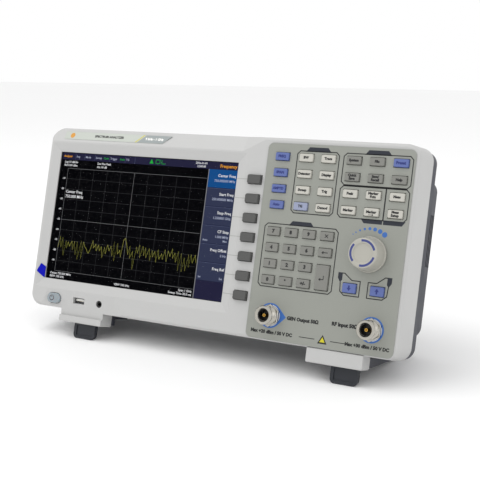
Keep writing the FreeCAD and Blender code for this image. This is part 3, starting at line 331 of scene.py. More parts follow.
def make_materials(colours):
    """Every finish of the instrument."""
    moulded = make_moulding_group()
    plated = make_metal_group()

    def plastic(name, colour, roughness=0.5, **more):
        MATERIALS[name] = surface(name, moulded, colour, roughness, **more)

    def metal(name, colour, roughness=0.25, **more):
        MATERIALS[name] = surface(name, plated, colour, roughness, metal=1.0, **more)

    plastic("bezel plastic", colours.bezel, 0.46, bump=0.14, mottle=0.03)
    plastic("shell plastic", colours.shell, 0.55, bump=0.3, bump_mm=0.05, mottle=0.16, dust=0.25,
            grain_scale=1100.0)
    plastic("panel film", colours.panel, 0.42, bump=0.1, mottle=0.03, dust=0.02, grain_scale=2600.0)
    plastic("softkey rubber", colours.softkey, 0.62, bump=0.2, mottle=0.12)
    plastic("grey key rubber", colours.grey_key, 0.6, bump=0.18, mottle=0.08)
    plastic("light key rubber", colours.light_key, 0.58, bump=0.18, mottle=0.03)
    plastic("blue key rubber", colours.blue_key, 0.5, bump=0.15, mottle=0.08)
    plastic("pale key rubber", colours.pale_key, 0.5, bump=0.12, mottle=0.05)
    plastic("ink", colours.ink, 0.5, bump=0.05, mottle=0.1, dust=0.0)
    plastic("faint ink", tone("8F918C"), 0.5, bump=0.05, mottle=0.1, dust=0.0)
    plastic("tab ink", colours.tab_ink, 0.45, bump=0.05, mottle=0.08, dust=0.0)
    plastic("label ink", colours.label_blue, 0.4, bump=0.05, mottle=0.05, dust=0.0)
    plastic("yellow ink", tone("C4BB18"), 0.4, bump=0.05, mottle=0.05, dust=0.0)
    plastic("amber ink", tone("C98A1E"), 0.4, bump=0.05, mottle=0.05, dust=0.0)
    plastic("blue key ink", tone("1C2A6E"), 0.5, bump=0.05, mottle=0.1, dust=0.0)
    plastic("badge film", tone("B4B9B1"), 0.35, bump=0.05, mottle=0.03, dust=0.0)
    plastic("badge grey", tone("8B9292"), 0.35, bump=0.05, mottle=0.05, dust=0.0)
    plastic("badge white", tone("F2F2EE"), 0.35, bump=0.05, mottle=0.02, dust=0.0)
    plastic("knob plastic", colours.knob, 0.38, bump=0.06, mottle=0.02)
    plastic("knob print", colours.knob_print, 0.42, bump=0.05, mottle=0.08, dust=0.0)
    plastic("foot plastic", colours.foot, 0.5, bump=0.3, bump_mm=0.05, mottle=0.16, dust=0.06)
    plastic("handle plastic", tone("2B2C33"), 0.5, bump=0.3, bump_mm=0.05, mottle=0.15, dust=0.3)
    plastic("grip rubber", tone("1B1B1E"), 0.75, bump=0.3, mottle=0.2, dust=0.3)
    plastic("socket plastic", tone("141416"), 0.45, bump=0.1, mottle=0.15, dust=0.1)
    plastic("white plastic", tone("E9E9E4"), 0.4, bump=0.05, mottle=0.03)
    plastic("pad rubber", tone("17171A"), 0.8, bump=0.3, mottle=0.2)
    plastic("board mask", tone("1E5A33"), 0.35, bump=0.1, mottle=0.2)
    plastic("power key plastic", tone("8D959B"), 0.22, bump=0.04, mottle=0.04, dust=0.0)
    plastic("film blue", colours.film, 0.25, bump=0.02, mottle=0.04, dust=0.0)
    metal("nickel plate", tone("B9B6AE"), 0.16, bump=0.06)
    metal("gold plate", tone("D9B25C"), 0.22, bump=0.05)
    metal("steel plate", tone("C6C8CB"), 0.34, bump=0.12)
    set_shader(MATERIALS["power key plastic"], Coat_Weight=0.4, Subsurface_Weight=0.1)
    set_shader(MATERIALS["film blue"], Specular_IOR_Level=0.15)
    set_shader(MATERIALS["knob plastic"], Coat_Weight=0.15)

    MATERIALS["window glass"] = set_shader(new_material("window glass"), Base_Color=(0.97, 0.98, 0.99, 1),
                                           Roughness=0.0, IOR=1.02, Transmission_Weight=1.0)
    for name, code in (
            ("lit black", "050507"), ("lit bar", "24233C"), ("lit menu", "333850"),
            ("lit menu edge", "1F2338"), ("lit menu shine", "525A78"), ("lit choice", "164B85"),
            ("lit grid", "3A3A3C"), ("lit axis", "808082"), ("lit trace", "A9A94A"), ("lit text", "E8E8EA"),
            ("lit soft text", "A9AFC4"), ("lit head", "E39A2B"), ("lit green", "25A83E")):
        MATERIALS[name] = lit(name, tone(code))


def paint(node, material):
    """Give a carried-over node one of the finishes."""
    mesh = frame["nodes"][node].data
    mesh.materials.clear()
    mesh.materials.append(MATERIALS[material])


# ------------------------------------------------------------------ mesh building

def finish_piece(name, mesh, material, body, smooth=None):
    """Place a mesh made in case millimetres, paint it and let it ride on a body."""
    mesh.transform(CASE)
    piece = bpy.data.objects.new(name, mesh)
    bpy.context.scene.collection.objects.link(piece)
    mesh.materials.clear()
    mesh.materials.append(MATERIALS[material])
    if smooth is not None:
        for polygon in mesh.polygons:
            polygon.use_smooth = True
        mesh.set_sharp_from_angle(angle=math.radians(smooth))
    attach(piece, body)
    return piece


def mesh_from(build, name):
    """A mesh filled by a function that is given an empty bmesh."""
    grown = bmesh.new()
    build(grown)
    bmesh.ops.recalc_face_normals(grown, faces=grown.faces)
    mesh = bpy.data.meshes.new(name)
    grown.to_mesh(mesh)
    grown.free()
    return mesh


def add_loft(grown, rings):
    """A closed solid through rings of points that have the same count."""
    rings = [[grown.verts.new(point) for point in ring] for ring in rings]
    count = len(rings[0])
    grown.faces.new(rings[0])
    grown.faces.new(list(reversed(rings[-1])))
    for first, second in zip(rings, rings[1:]):
        for index in range(count):
            following = (index + 1) % count
            grown.faces.new((first[index], second[index], second[following], first[following]))


def add_prism(grown, outline, near, far):
    """A closed prism: an outline in (x, z), from y = near to y = far."""
    add_loft(grown, [[(x, depth, z) for x, z in outline] for depth in (near, far)])


def add_block(grown, left, right, low, top, near, far):
    """A box between two depths."""
    add_prism(grown, [(left, low), (right, low), (right, top), (left, top)], near, far)


def add_stroke(grown, points, wide, near, far, closed=True):
    """A line of even width along points in (x, z), mitred at its corners."""
    count = len(points)
    left = []
    right = []
    for index, point in enumerate(points):
        here = Vector(point)
        before = Vector(points[index - 1]) if closed or index else None
        after = Vector(points[(index + 1) % count]) if closed or index < count - 1 else None
        ways = []
        if before is not None:
            ways.append((here - before).normalized())
        if after is not None:
            ways.append((after - here).normalized())
        along = sum(ways, Vector((0, 0))).normalized()
        across = Vector((-along.y, along.x))
        reach = wide / 2 / max(0.35, abs(across.dot(Vector((-ways[0].y, ways[0].x)))))
        left.append(here + across * reach)
        right.append(here - across * reach)
    spans = count if closed else count - 1
    rings = [[grown.verts.new((a.x, y, a.y)) for a in side] for side in (left, right) for y in (near, far)]
    near_left, far_left, near_right, far_right = rings
    for index in range(spans):
        following = (index + 1) % count
        for first, second in ((near_left, near_right), (near_right, far_right),
                              (far_right, far_left), (far_left, near_left)):
            grown.faces.new((first[index], first[following], second[following], second[index]))
    if not closed:
        for index in (0, count - 1):
            grown.faces.new((near_left[index], near_right[index], far_right[index], far_left[index]))


def rounded_outline(left, right, low, top, corner, steps=6):
    """Points of a rectangle with round corners, anticlockwise."""
    points = []
    for x, z, start in ((right - corner, low + corner, -90), (right - corner, top - corner, 0),
                        (left + corner, top - corner, 90), (left + corner, low + corner, 180)):
        for step in range(steps + 1):
            angle = math.radians(start + 90 * step / steps)
            points.append((x + corner * math.cos(angle), z + corner * math.sin(angle)))
    return points


def disc_outline(x, z, radius, steps=32, start=0.0, turn=360.0):
    """Points round a circle, or along a part of it."""
    last = steps if turn == 360.0 else steps + 1
    return [(x + radius * math.cos(math.radians(start + turn * index / steps)),
             z + radius * math.sin(math.radians(start + turn * index / steps))) for index in range(last)]


def lathe_mesh(name, profile, x, z, steps=72, wave=None):
    """Turn a profile of (radius, depth) about the line along y at (x, z).

    wave(radius, depth, angle) may change a point's radius, as a thread does.
    """
    def ring_at(grown, radius, depth):
        if radius < 1e-6:
            return [grown.verts.new((x, depth, z))]
        ring = []
        for index in range(steps):
            angle = 2 * math.pi * index / steps
            reach = wave(radius, depth, angle) if wave else radius
            ring.append(grown.verts.new((x + reach * math.cos(angle), depth, z + reach * math.sin(angle))))
        return ring

    def build(grown):
        closed = profile[0] == profile[-1]
        rings = [ring_at(grown, *point) for point in (profile[:-1] if closed else profile)]
        for first, second in zip(rings, rings[1:] + rings[:1] if closed else rings[1:]):
            for index in range(steps if len(first) + len(second) > 2 else 0):
                following = (index + 1) % steps
                if len(first) == 1:
                    grown.faces.new((first[0], second[index], second[following]))
                elif len(second) == 1:
                    grown.faces.new((first[index], first[following], second[0]))
                else:
                    grown.faces.new((first[index], first[following], second[following], second[index]))
    return mesh_from(build, name)


def turned(name, profile, place, steps, material, smooth=30):
    """A small turned piece of the case."""
    mesh = lathe_mesh(name, profile, *place, steps)
    return finish_piece(name, mesh, material, "case", smooth=smooth)


def printed(name, build, material, body):
    """A printed or moulded flat piece made by one builder."""
    return finish_piece(name, mesh_from(build, name), material, body)


def lettering(name, lines, front, material, body, facing=FACING, thick=0.04, bold=0.045):
    """Words as one thin solid each: lines hold (text, size, x, z, alignment)."""
    joined = bmesh.new()
    for text, size, x, z, align in lines:
        curve = bpy.data.curves.new("words", "FONT")
        curve.body = text
        curve.size = size
        curve.align_x = align
        curve.align_y = "CENTER"
        curve.resolution_u = 2
        curve.extrude = thick / 2
        curve.offset = size * bold
        typed = bpy.data.objects.new("words", curve)
        bpy.context.scene.collection.objects.link(typed)
        bpy.context.view_layer.update()
        mesh = bpy.data.meshes.new_from_object(typed.evaluated_get(bpy.context.evaluated_depsgraph_get()))
        out = -thick / 2 if facing is FACING else thick / 2
        mesh.transform(Matrix.Translation((x, front + out, z)) @ facing)
        joined.from_mesh(mesh)
        bpy.data.objects.remove(typed)
        bpy.data.curves.remove(curve)
        bpy.data.meshes.remove(mesh)
    mesh = bpy.data.meshes.new(name)
    joined.to_mesh(mesh)
    joined.free()
    return finish_piece(name, mesh, material, body)


def key_grid(node, columns, rows, skip=()):
    """Centres of the caps in a node that holds several, row by row from the top left."""
    low, high = case_box(node)
    single_low, single_high = case_box("preset_key")
    single = single_high - single_low
    step_x = (high.x - low.x - single.x) / max(1, columns - 1)
    step_z = (high.z - low.z - single.z) / max(1, rows - 1)
    places = [(low.x + single.x / 2 + column * step_x, high.z - single.z / 2 - row * step_z)
              for row in range(rows) for column in range(columns)]
    return [place for index, place in enumerate(places) if index not in skip]


# ------------------------------------------------------------------ operators

class ANALYZER_OT_finishes(bpy.types.Operator):
    """Make every finish and paint the nodes that keep their own shape."""
    bl_idname = "analyzer.finishes"
    bl_label = "Finishes"

    def execute(self, context):
        """Make the materials and assign them."""
        make_materials(context.scene.analyzer_colours)
        finishes = {
            "bezel plastic": ["front_bezel"],
            "shell plastic": ["rear_cover"],
            "panel film": ["key_panel"],
            "window glass": ["display_window"],
            "socket plastic": ["lcd_module", "headphone_jack", "mains_inlet", "fan_frame", "fan_rotor"],
            "film blue": ["film_tab"],
            "softkey rubber": SOFTKEYS,
            "blue key rubber": MEASURE_KEYS + ARROW_KEYS + ["preset_key"],
            "grey key rubber": PAD_KEYS + ["system_keys"],
            "light key rubber": ["control_keys", "marker_keys"],
            "power key plastic": ["power_key"],
            "foot plastic": ["left_foot", "right_foot"],
            "handle plastic": ["carrying_handle"],
            "pad rubber": ["rear_feet"],
            "steel plate": ["encoder", "usb_host_socket", "data_sockets", "rf_module", "chassis"],
            "nickel plate": ["case_screws", "bnc_connectors", "rf_input_connector", "gen_output_connector"],
            "board mask": ["key_board", "main_board", "power_supply"],
            "knob plastic": ["knob"],
        }
        for material, nodes in finishes.items():
            for node in nodes:
                paint(node, material)
        self.colour_generator_key()
        return {"FINISHED"}

    def colour_generator_key(self):
        """The lower left cap of the control keys is pale blue."""
        x, z = key_grid("control_keys", *CONTROL_GRID)[6]
        half_pitch_x, half_pitch_z = 9, 6.5
        mesh = frame["nodes"]["control_keys"].data
        mesh.materials.append(MATERIALS["pale key rubber"])
        for polygon in mesh.polygons:
            centre = TO_CASE @ polygon.center
            if abs(centre.x - x) < half_pitch_x and abs(centre.z - z) < half_pitch_z:
                polygon.material_index = 1


class ANALYZER_OT_display(bpy.types.Operator):
    """Light the display: status bar, grid, trace, scale and softkey menu."""
    bl_idname = "analyzer.display"
    bl_label = "Display picture"

    def execute(self, context):
        """Build the picture in thin layers on the module's face."""
        window_low, window_high = case_box("display_window")
        self.face = case_box("lcd_module")[0].y
        inset = 4.4
        self.left = window_low.x + inset
        self.right = window_high.x - inset - 0.6
        self.low = window_low.z + inset
        self.top = window_high.z - inset
        self.menu = self.right - 29.3
        self.bar = self.top - 6.6
        self.grid_box = (self.menu - 157.0, self.menu - 1.4, self.low + 7.6, self.top - 15.0)
        self.backdrop()
        self.menu_column()
        self.grid_lines()
        self.trace(context.scene.analyzer_sizes.trace_seed)
        self.words()
        return {"FINISHED"}

    def layer(self, name, material, level, build):
        """One layer, a little nearer to the window for each level."""
        step, thick = 0.006, 0.004
        near = self.face - step * (1 + level)

        def shape(grown):
            build(grown, near, near + thick)
        printed(name, shape, material, "case")

    def block(self, name, material, level, boxes):
        """Filled rectangles (left, right, low, top)."""
        def build(grown, near, far):
            for box in boxes:
                add_block(grown, *box, near, far)
        self.layer(name, material, level, build)

    def backdrop(self):
        """Black field, status bar and the column's empty lower end."""
        self.block("screen_black", "lit black", 0, [(self.left, self.right, self.low, self.top)])
        self.block("screen_bar", "lit bar", 1, [
            (self.left, self.right, self.bar, self.top),
            (self.menu, self.right, self.low, self.bar)])
        self.block("screen_bar_gaps", "lit menu shine", 2, [
            (self.left + 15 + offset, self.left + 15.25 + offset, self.bar + 0.6, self.top - 0.6)
            for offset in (0.5, 11.5, 23.5, 40.5, 58.5, 69.5)])

    def menu_column(self):
        """Six menu fields with a bright and a dark edge each; the first is chosen."""
        pitch = (self.bar - self.low) / 7
        fields = [(self.bar - (index + 1) * pitch, self.bar - index * pitch) for index in range(6)]
        self.block("screen_fields", "lit menu", 2, [
            (self.menu, self.right - 0.3, low, top - 0.2) for low, top in fields[1:]])
        self.block("screen_choice", "lit choice", 2, [
            (self.menu, self.right - 0.3, fields[0][0] + 0.2, fields[0][1])])
        self.block("screen_field_shine", "lit menu shine", 3, [
            (self.menu, self.right - 0.3, top - 0.55, top - 0.3) for low, top in fields[1:]])
        self.block("screen_field_edges", "lit menu edge", 3, [
            (self.menu, self.right - 0.3, low, low + 0.35) for low, top in fields])
        self.block("screen_column_edge", "lit axis", 3, [
            (self.menu - 0.5, self.menu + 0.25, self.low, self.bar)])
        self.fields = fields

    def grid_lines(self):
        """Ten divisions each way, with brighter middle lines and frame."""
        left, right, low, top = self.grid_box
        wide = 0.22
        columns = [left + (right - left) * index / 10 for index in range(11)]
        rows = [low + (top - low) * index / 10 for index in range(11)]
        self.block("screen_grid", "lit grid", 1, [
            (x - wide / 2, x + wide / 2, low, top) for x in columns[1:5] + columns[6:10]] + [
            (left, right, z - wide / 2, z + wide / 2) for z in rows[1:5] + rows[6:10]])
        self.block("screen_axes", "lit axis", 2, [
            (x - wide / 2, x + wide / 2, low, top) for x in (left, columns[5])] + [
            (left, right, z - wide / 2, z + wide / 2) for z in (low, rows[5], top)])
        self.rows = rows

    def trace(self, seed):
        """A noise floor with one weak carrier in the middle."""
        left, right, low, top = self.grid_box
        dice = random.Random(seed)
        count = 88
        step = (top - low) / 10
        points = []
        for index in range(count + 1):
            swing = dice.uniform(0.1, 0.6) if index % 2 else -dice.uniform(0.1, 0.8)
            dip = -dice.uniform(0.4, 1.1) if dice.random() < 0.1 else 0.0
            carrier = 1.5 * math.exp(-((index - count * 0.5) / 0.9) ** 2)
            place = index + dice.uniform(-0.3, 0.3) if 0 < index < count else index
            height = 2.7 + 0.15 * math.sin(index * 0.37) + swing + dip + carrier
            points.append((left + (right - left) * place / count, low + height * step))

        def build(grown, near, far):
            add_stroke(grown, points, 0.26, near, far, closed=False)
        self.layer("screen_trace", "lit trace", 3, build)

    def words(self):
        """Readings round the grid and in the menu."""
        left, right, low, top = self.grid_box
        size = 2.9
        front = self.face - 0.03
        bright = [
            ("Center Freq", size * 1.35, left + 1.0, self.rows[8] - 2.6, "LEFT"),
            ("750.000 MHz", size * 1.35, left + 1.0, self.rows[8] - 7.2, "LEFT"),
            ("Log 10 dB/div", size, self.left + 3.2, top + 6.2, "LEFT"),
            ("Ref 0.00 dBm", size, self.left + 3.2, top + 3.0, "LEFT"),
            ("Det Pos Peak", size, left + 34, top + 6.2, "LEFT"),
            ("Att 10 dB", size, left + 34, top + 3.0, "LEFT"),
            ("Center 750.000 MHz", size, self.left + 3.2, low - 2.4, "LEFT"),
            ("RBW 100 kHz", size, self.left + 3.2, low - 5.4, "LEFT"),
            ("VBW 100 kHz", size, (left + right) / 2 - 7, low - 5.2, "LEFT"),
            ("Span 1 GHz", size, right - 0.8, low - 2.4, "RIGHT"),
            ("Sweep Time 30.0 ms", size, right - 0.8, low - 5.4, "RIGHT"),
            ("2026-01-01", size * 0.92, self.menu - 8.5, self.top - 1.9, "CENTER"),
            ("12:00:00", size * 0.92, self.menu - 8.5, self.top - 4.8, "CENTER"),
        ]
        bright += [(f"-{number * 10}", size * 0.86, left - 2.0, z, "RIGHT")
                   for number, z in enumerate(reversed(self.rows[1:10]), 1)]
        menu = [("Center Freq", "750.000000 MHz"), ("Start Freq", "250.000000 MHz"),
                ("Stop Freq", "1.250000 GHz"),
                ("CF Step", "1.000 MHz"), ("Freq Offset", "0 Hz"), ("Freq Ref", "")]
        soft = []
        for (title, value), (field_low, field_top) in zip(menu, self.fields):
            bright.append((title, size * 1.22, self.right - 1.6, field_top - 5.4, "RIGHT"))
            soft.append((value or " ", size * 1.05, self.right - 1.6, field_top - 10.0, "RIGHT"))
        for index, pair in ((3, ("Auto", "Man")), (5, ("Int", "Ext"))):
            base = self.fields[index][0] + 3.0
            soft.append((pair[0], size * 0.86, self.menu + 2.2, base, "LEFT"))
            soft.append((pair[1], size * 0.86, self.right - 2.4, base, "RIGHT"))
        for offset, word in ((1.6, "Avg"), (12.6, "Mode"), (24.6, "Sweep"), (41.6, "Trigger"), (59.6, "TG")):
            soft.append((word, size * 0.92, self.left + 15 + offset, self.bar + 3.3, "LEFT"))
        green = [("Cont", size * 0.92, self.left + 49.0, self.bar + 3.3, "LEFT"),
                 ("Auto", size * 0.92, self.left + 67.6, self.bar + 3.3, "LEFT")]
        heads = [("Frequency", size * 1.4, self.right - 1.4, self.bar + 3.1, "RIGHT"),
                 ("Analyzer", size, self.left + 1.5, self.bar + 3.3, "LEFT")]
        for name, lines, material, bold in (
                ("screen_words", bright, "lit text", 0.012),
                ("screen_soft_words", soft, "lit soft text", 0.012),
                ("screen_green_words", green, "lit green", 0.012),
                ("screen_head", heads, "lit head", 0.02)):
            lettering(name, lines, front, material, "case", thick=0.01, bold=bold)
        self.icons()

    def icons(self):
        """Three green signs in the status bar."""
        icon = self.left + 101

        def signs(grown, near, far):
            middle = self.bar + 3.3
            add_prism(grown, [(icon, middle - 1.8), (icon + 4.4, middle - 1.8), (icon + 2.2, middle + 2.2)],
                      near, far)
            add_stroke(grown, rounded_outline(icon + 7, icon + 11.4, middle - 1.6, middle + 1.8, 0.6), 0.45,
                       near, far)
            add_stroke(grown, [(icon + 13.5, middle + 1.8), (icon + 13.5, middle - 1.6),
                               (icon + 17.5, middle - 1.6)], 0.45, near, far, closed=False)
        self.layer("screen_icons", "lit green", 4, signs)


class ANALYZER_OT_panel_print(bpy.types.Operator):
    """Print the key panel: group outlines, tabs, labels and the words at the connectors."""
    bl_idname = "analyzer.panel_print"
    bl_label = "Panel print"

    def execute(self, context):
        """Print in thin solids on the overlay."""
        sizes = context.scene.analyzer_sizes
        low, high = case_box("key_panel")
        self.face = low.y
        self.thick = sizes.print_thick * 1000
        self.line = sizes.outline_wide * 1000
        self.low, self.high = low, high
        self.edge_line()
        self.group_outlines()
        self.tabs()
        self.arrow_outlines()
        self.connector_labels()
        self.knob_dots()
        self.leaders()
        return {"FINISHED"}

    def ink(self, name, material, build, face=None):
        """One printed piece on the overlay or another face."""
        front = self.face if face is None else face

        def shape(grown):
            build(grown, front - self.thick, front - 0.002)
        printed(name, shape, material, "case")

    def edge_line(self):
        """The darker line along the overlay's edge."""
        low, high = self.low, self.high
        outline = rounded_outline(low.x + 0.35, high.x - 0.35, low.z + 0.35, high.z - 0.35, 4.7)
        self.ink("panel_edge_line", "faint ink", lambda grown, near, far:
                 add_stroke(grown, outline, 0.5, near, far))

    def chamfered(self, left, right, low, top, cut):
        """Corners of a rectangle with its corners cut off."""
        return [(left + cut, low), (right - cut, low), (right, low + cut), (right, top - cut),
                (right - cut, top), (left + cut, top), (left, top - cut), (left, low + cut)]

    def around(self, nodes, side, up, down):
        """A box round some keys, with room at the sides, above and below."""
        boxes = [case_box(node) for node in nodes]
        skirt = 1.2
        return (min(box[0].x for box in boxes) + skirt - side, max(box[1].x for box in boxes) - skirt + side,
                min(box[0].z for box in boxes) + skirt - down, max(box[1].z for box in boxes) - skirt + up)

    def group_outlines(self):
        """Chamfered outlines round the control, system, marker and number keys."""
        self.control = self.around(["control_keys"], 2.6, 2.3, 2.4)
        self.system = self.around(["system_keys", "preset_key"], 3.2, 2.4, 3.1)
        self.marker = self.around(["marker_keys"], 3.2, 2.9, 2.6)
        self.numbers = self.around(PAD_KEYS, 3.3, 2.9, 2.4)
        columns = key_grid("marker_keys", *MARKER_GRID)
        self.split = (columns[1][0] + columns[2][0]) / 2
        boxes = [self.control, self.system, self.marker, self.numbers]

        def lines(grown, near, far):
            for left, right, low, top in boxes:
                add_stroke(grown, self.chamfered(left, right, low, top, 2.6), self.line, near, far)
            left, right, low, top = self.marker
            add_block(grown, self.split - 0.55, self.split + 0.55, low, top, near, far)
            add_block(grown, left + 2.4, right - 2.4, top - 0.35, self.system[2] + 0.35, near, far)
        self.ink("panel_outlines", "ink", lines)

    def tabs(self):
        """Slate tabs on the outlines."""
        def raised(box, left, right):
            low = box[3] - 0.5
            return [(left, low), (right, low), (right - 3.2, low + 3.9), (left + 3.2, low + 3.9)]

        split = self.split
        right, low = self.marker[1], self.marker[2] + 0.5

        def shapes(grown, near, far):
            for box in (self.control, self.system, self.numbers):
                middle = (box[0] + box[1]) / 2
                add_prism(grown, raised(box, middle - 11.6, middle + 11.6), near, far)
            add_prism(grown, [(split - 19, low), (split - 16, low - 3.7), (split - 0.4, low - 3.7),
                              (split - 0.4, low)], near, far)
            add_prism(grown, [(split + 0.4, low), (split + 0.4, low - 3.7), (right - 3.4, low - 3.7),
                              (right - 0.6, low)], near, far)
        self.ink("panel_tabs", "tab ink", shapes)

    def arrow_outlines(self):
        """The notched outlines round the two arrow keys, each with its tab."""
        down = case_middle("down_key")
        up = case_middle("up_key")
        centre = (down.x + up.x) / 2

        def shape(side):
            """Outline of one key; side is -1 on the left and 1 on the right."""
            return [(centre + side * x, down.z + z) for x, z in (
                (3.4, 6.4), (3.4, -6.2), (16.4, -6.2), (20.0, -3.2), (20.6, 4.5), (22.6, 7.6), (22.6, 11.6),
                (17.4, 11.6), (10.6, 6.4))]

        def tab(side):
            return [(centre + side * x, down.z + z) for x, z in (
                (20.6, 4.3), (22.8, 7.4), (22.8, 11.9), (19.2, 11.9), (19.2, 6.0))]

        self.ink("arrow_outlines", "ink", lambda grown, near, far: [
            add_stroke(grown, shape(side), self.line, near, far) for side in (-1, 1)])
        self.ink("arrow_tabs", "tab ink", lambda grown, near, far: [
            add_prism(grown, tab(side), near - self.thick, far - self.thick) for side in (-1, 1)])

    def connector_labels(self):
        """Blue labels behind the connectors, their words, rules and a plain triangle."""
        output = case_middle("gen_output_connector")
        source = case_middle("rf_input_connector")
        radius = 10.5

        def labels(grown, near, far):
            drop = disc_outline(output.x, output.z, radius, 28, 42, 276)
            add_prism(grown, drop + [(output.x + radius * 1.4, output.z)], near, far)
            add_prism(grown, disc_outline(source.x, source.z, radius, 36), near, far)
        self.ink("connector_labels", "label ink", labels)
        rule = output.z - 13.9
        words = [
            ("GEN Output 50Ω", 3.9, output.x + radius * 1.4 + 1.0, output.z - 0.2, "LEFT"),
            ("RF Input 50Ω", 4.1, source.x - radius - 1.2, source.z + 0.6, "RIGHT"),
            ("Max +20 dBm / 50 V DC", 3.8, output.x - 16.4, rule, "LEFT"),
            ("Max +30 dBm / 50 V DC", 3.7, source.x + 16.6, rule, "RIGHT"),
        ]
        lettering("connector_words", words, self.face, "ink", "case",
                  bold=LEGEND_BOLD)
        middle = (output.x + source.x) / 2 + 4.4

        def triangle(scale):
            return [(middle - 4.2 * scale, rule - 3.0 * scale), (middle + 4.2 * scale, rule - 3.0 * scale),
                    (middle, rule + 4.4 * scale)]

        def rules(grown, near, far):
            for left, right in ((middle - 21, middle - 7), (middle + 7, middle + 21)):
                add_block(grown, left, right, rule - 0.3, rule + 0.3, near, far)
            add_prism(grown, triangle(1.0), near, far)
        self.ink("connector_rules", "ink", rules)
        self.ink("notice_triangle", "yellow ink", lambda grown, near, far:
                 add_prism(grown, triangle(0.58), near - self.thick, far - self.thick))

    def knob_dots(self):
        """Blue dots that grow clockwise above the knob."""
        knob = case_middle("knob")
        count = 8

        def dots(grown, near, far):
            for index in range(count):
                share = index / (count - 1)
                angle = math.radians(137 - 79 * share ** 1.2)
                reach = 22.2 - 2.2 * share
                radius = 0.45 + 1.75 * share ** 1.3
                add_prism(grown, disc_outline(knob.x + reach * math.cos(angle),
                                              knob.z + reach * math.sin(angle), radius, 20), near, far)
        self.ink("knob_dots", "label ink", dots)

    def leaders(self):
        """Faint lines from the display, over its sloped surround, to the softkeys."""
        edge = case_box("display_window")[1].x - 4
        slope_wide, slope_deep, half = 8.5, 2.5, 0.2
        path = []
        for name in SOFTKEYS:
            low, high = case_box(name)
            path.append(((low.z + high.z) / 2, low.x + 0.6))

        def build(grown):
            for z, end in path:
                route = [(edge + 0.3, slope_deep - 0.1), (edge + slope_wide, 0), (end, 0)]
                corners = ((0.05, -half), (0.05, half), (0.005, half), (0.005, -half))
                add_loft(grown, [[(x, y - lift, z + side) for lift, side in corners] for x, y in route])
        printed("softkey_leaders", build, "faint ink", "case")


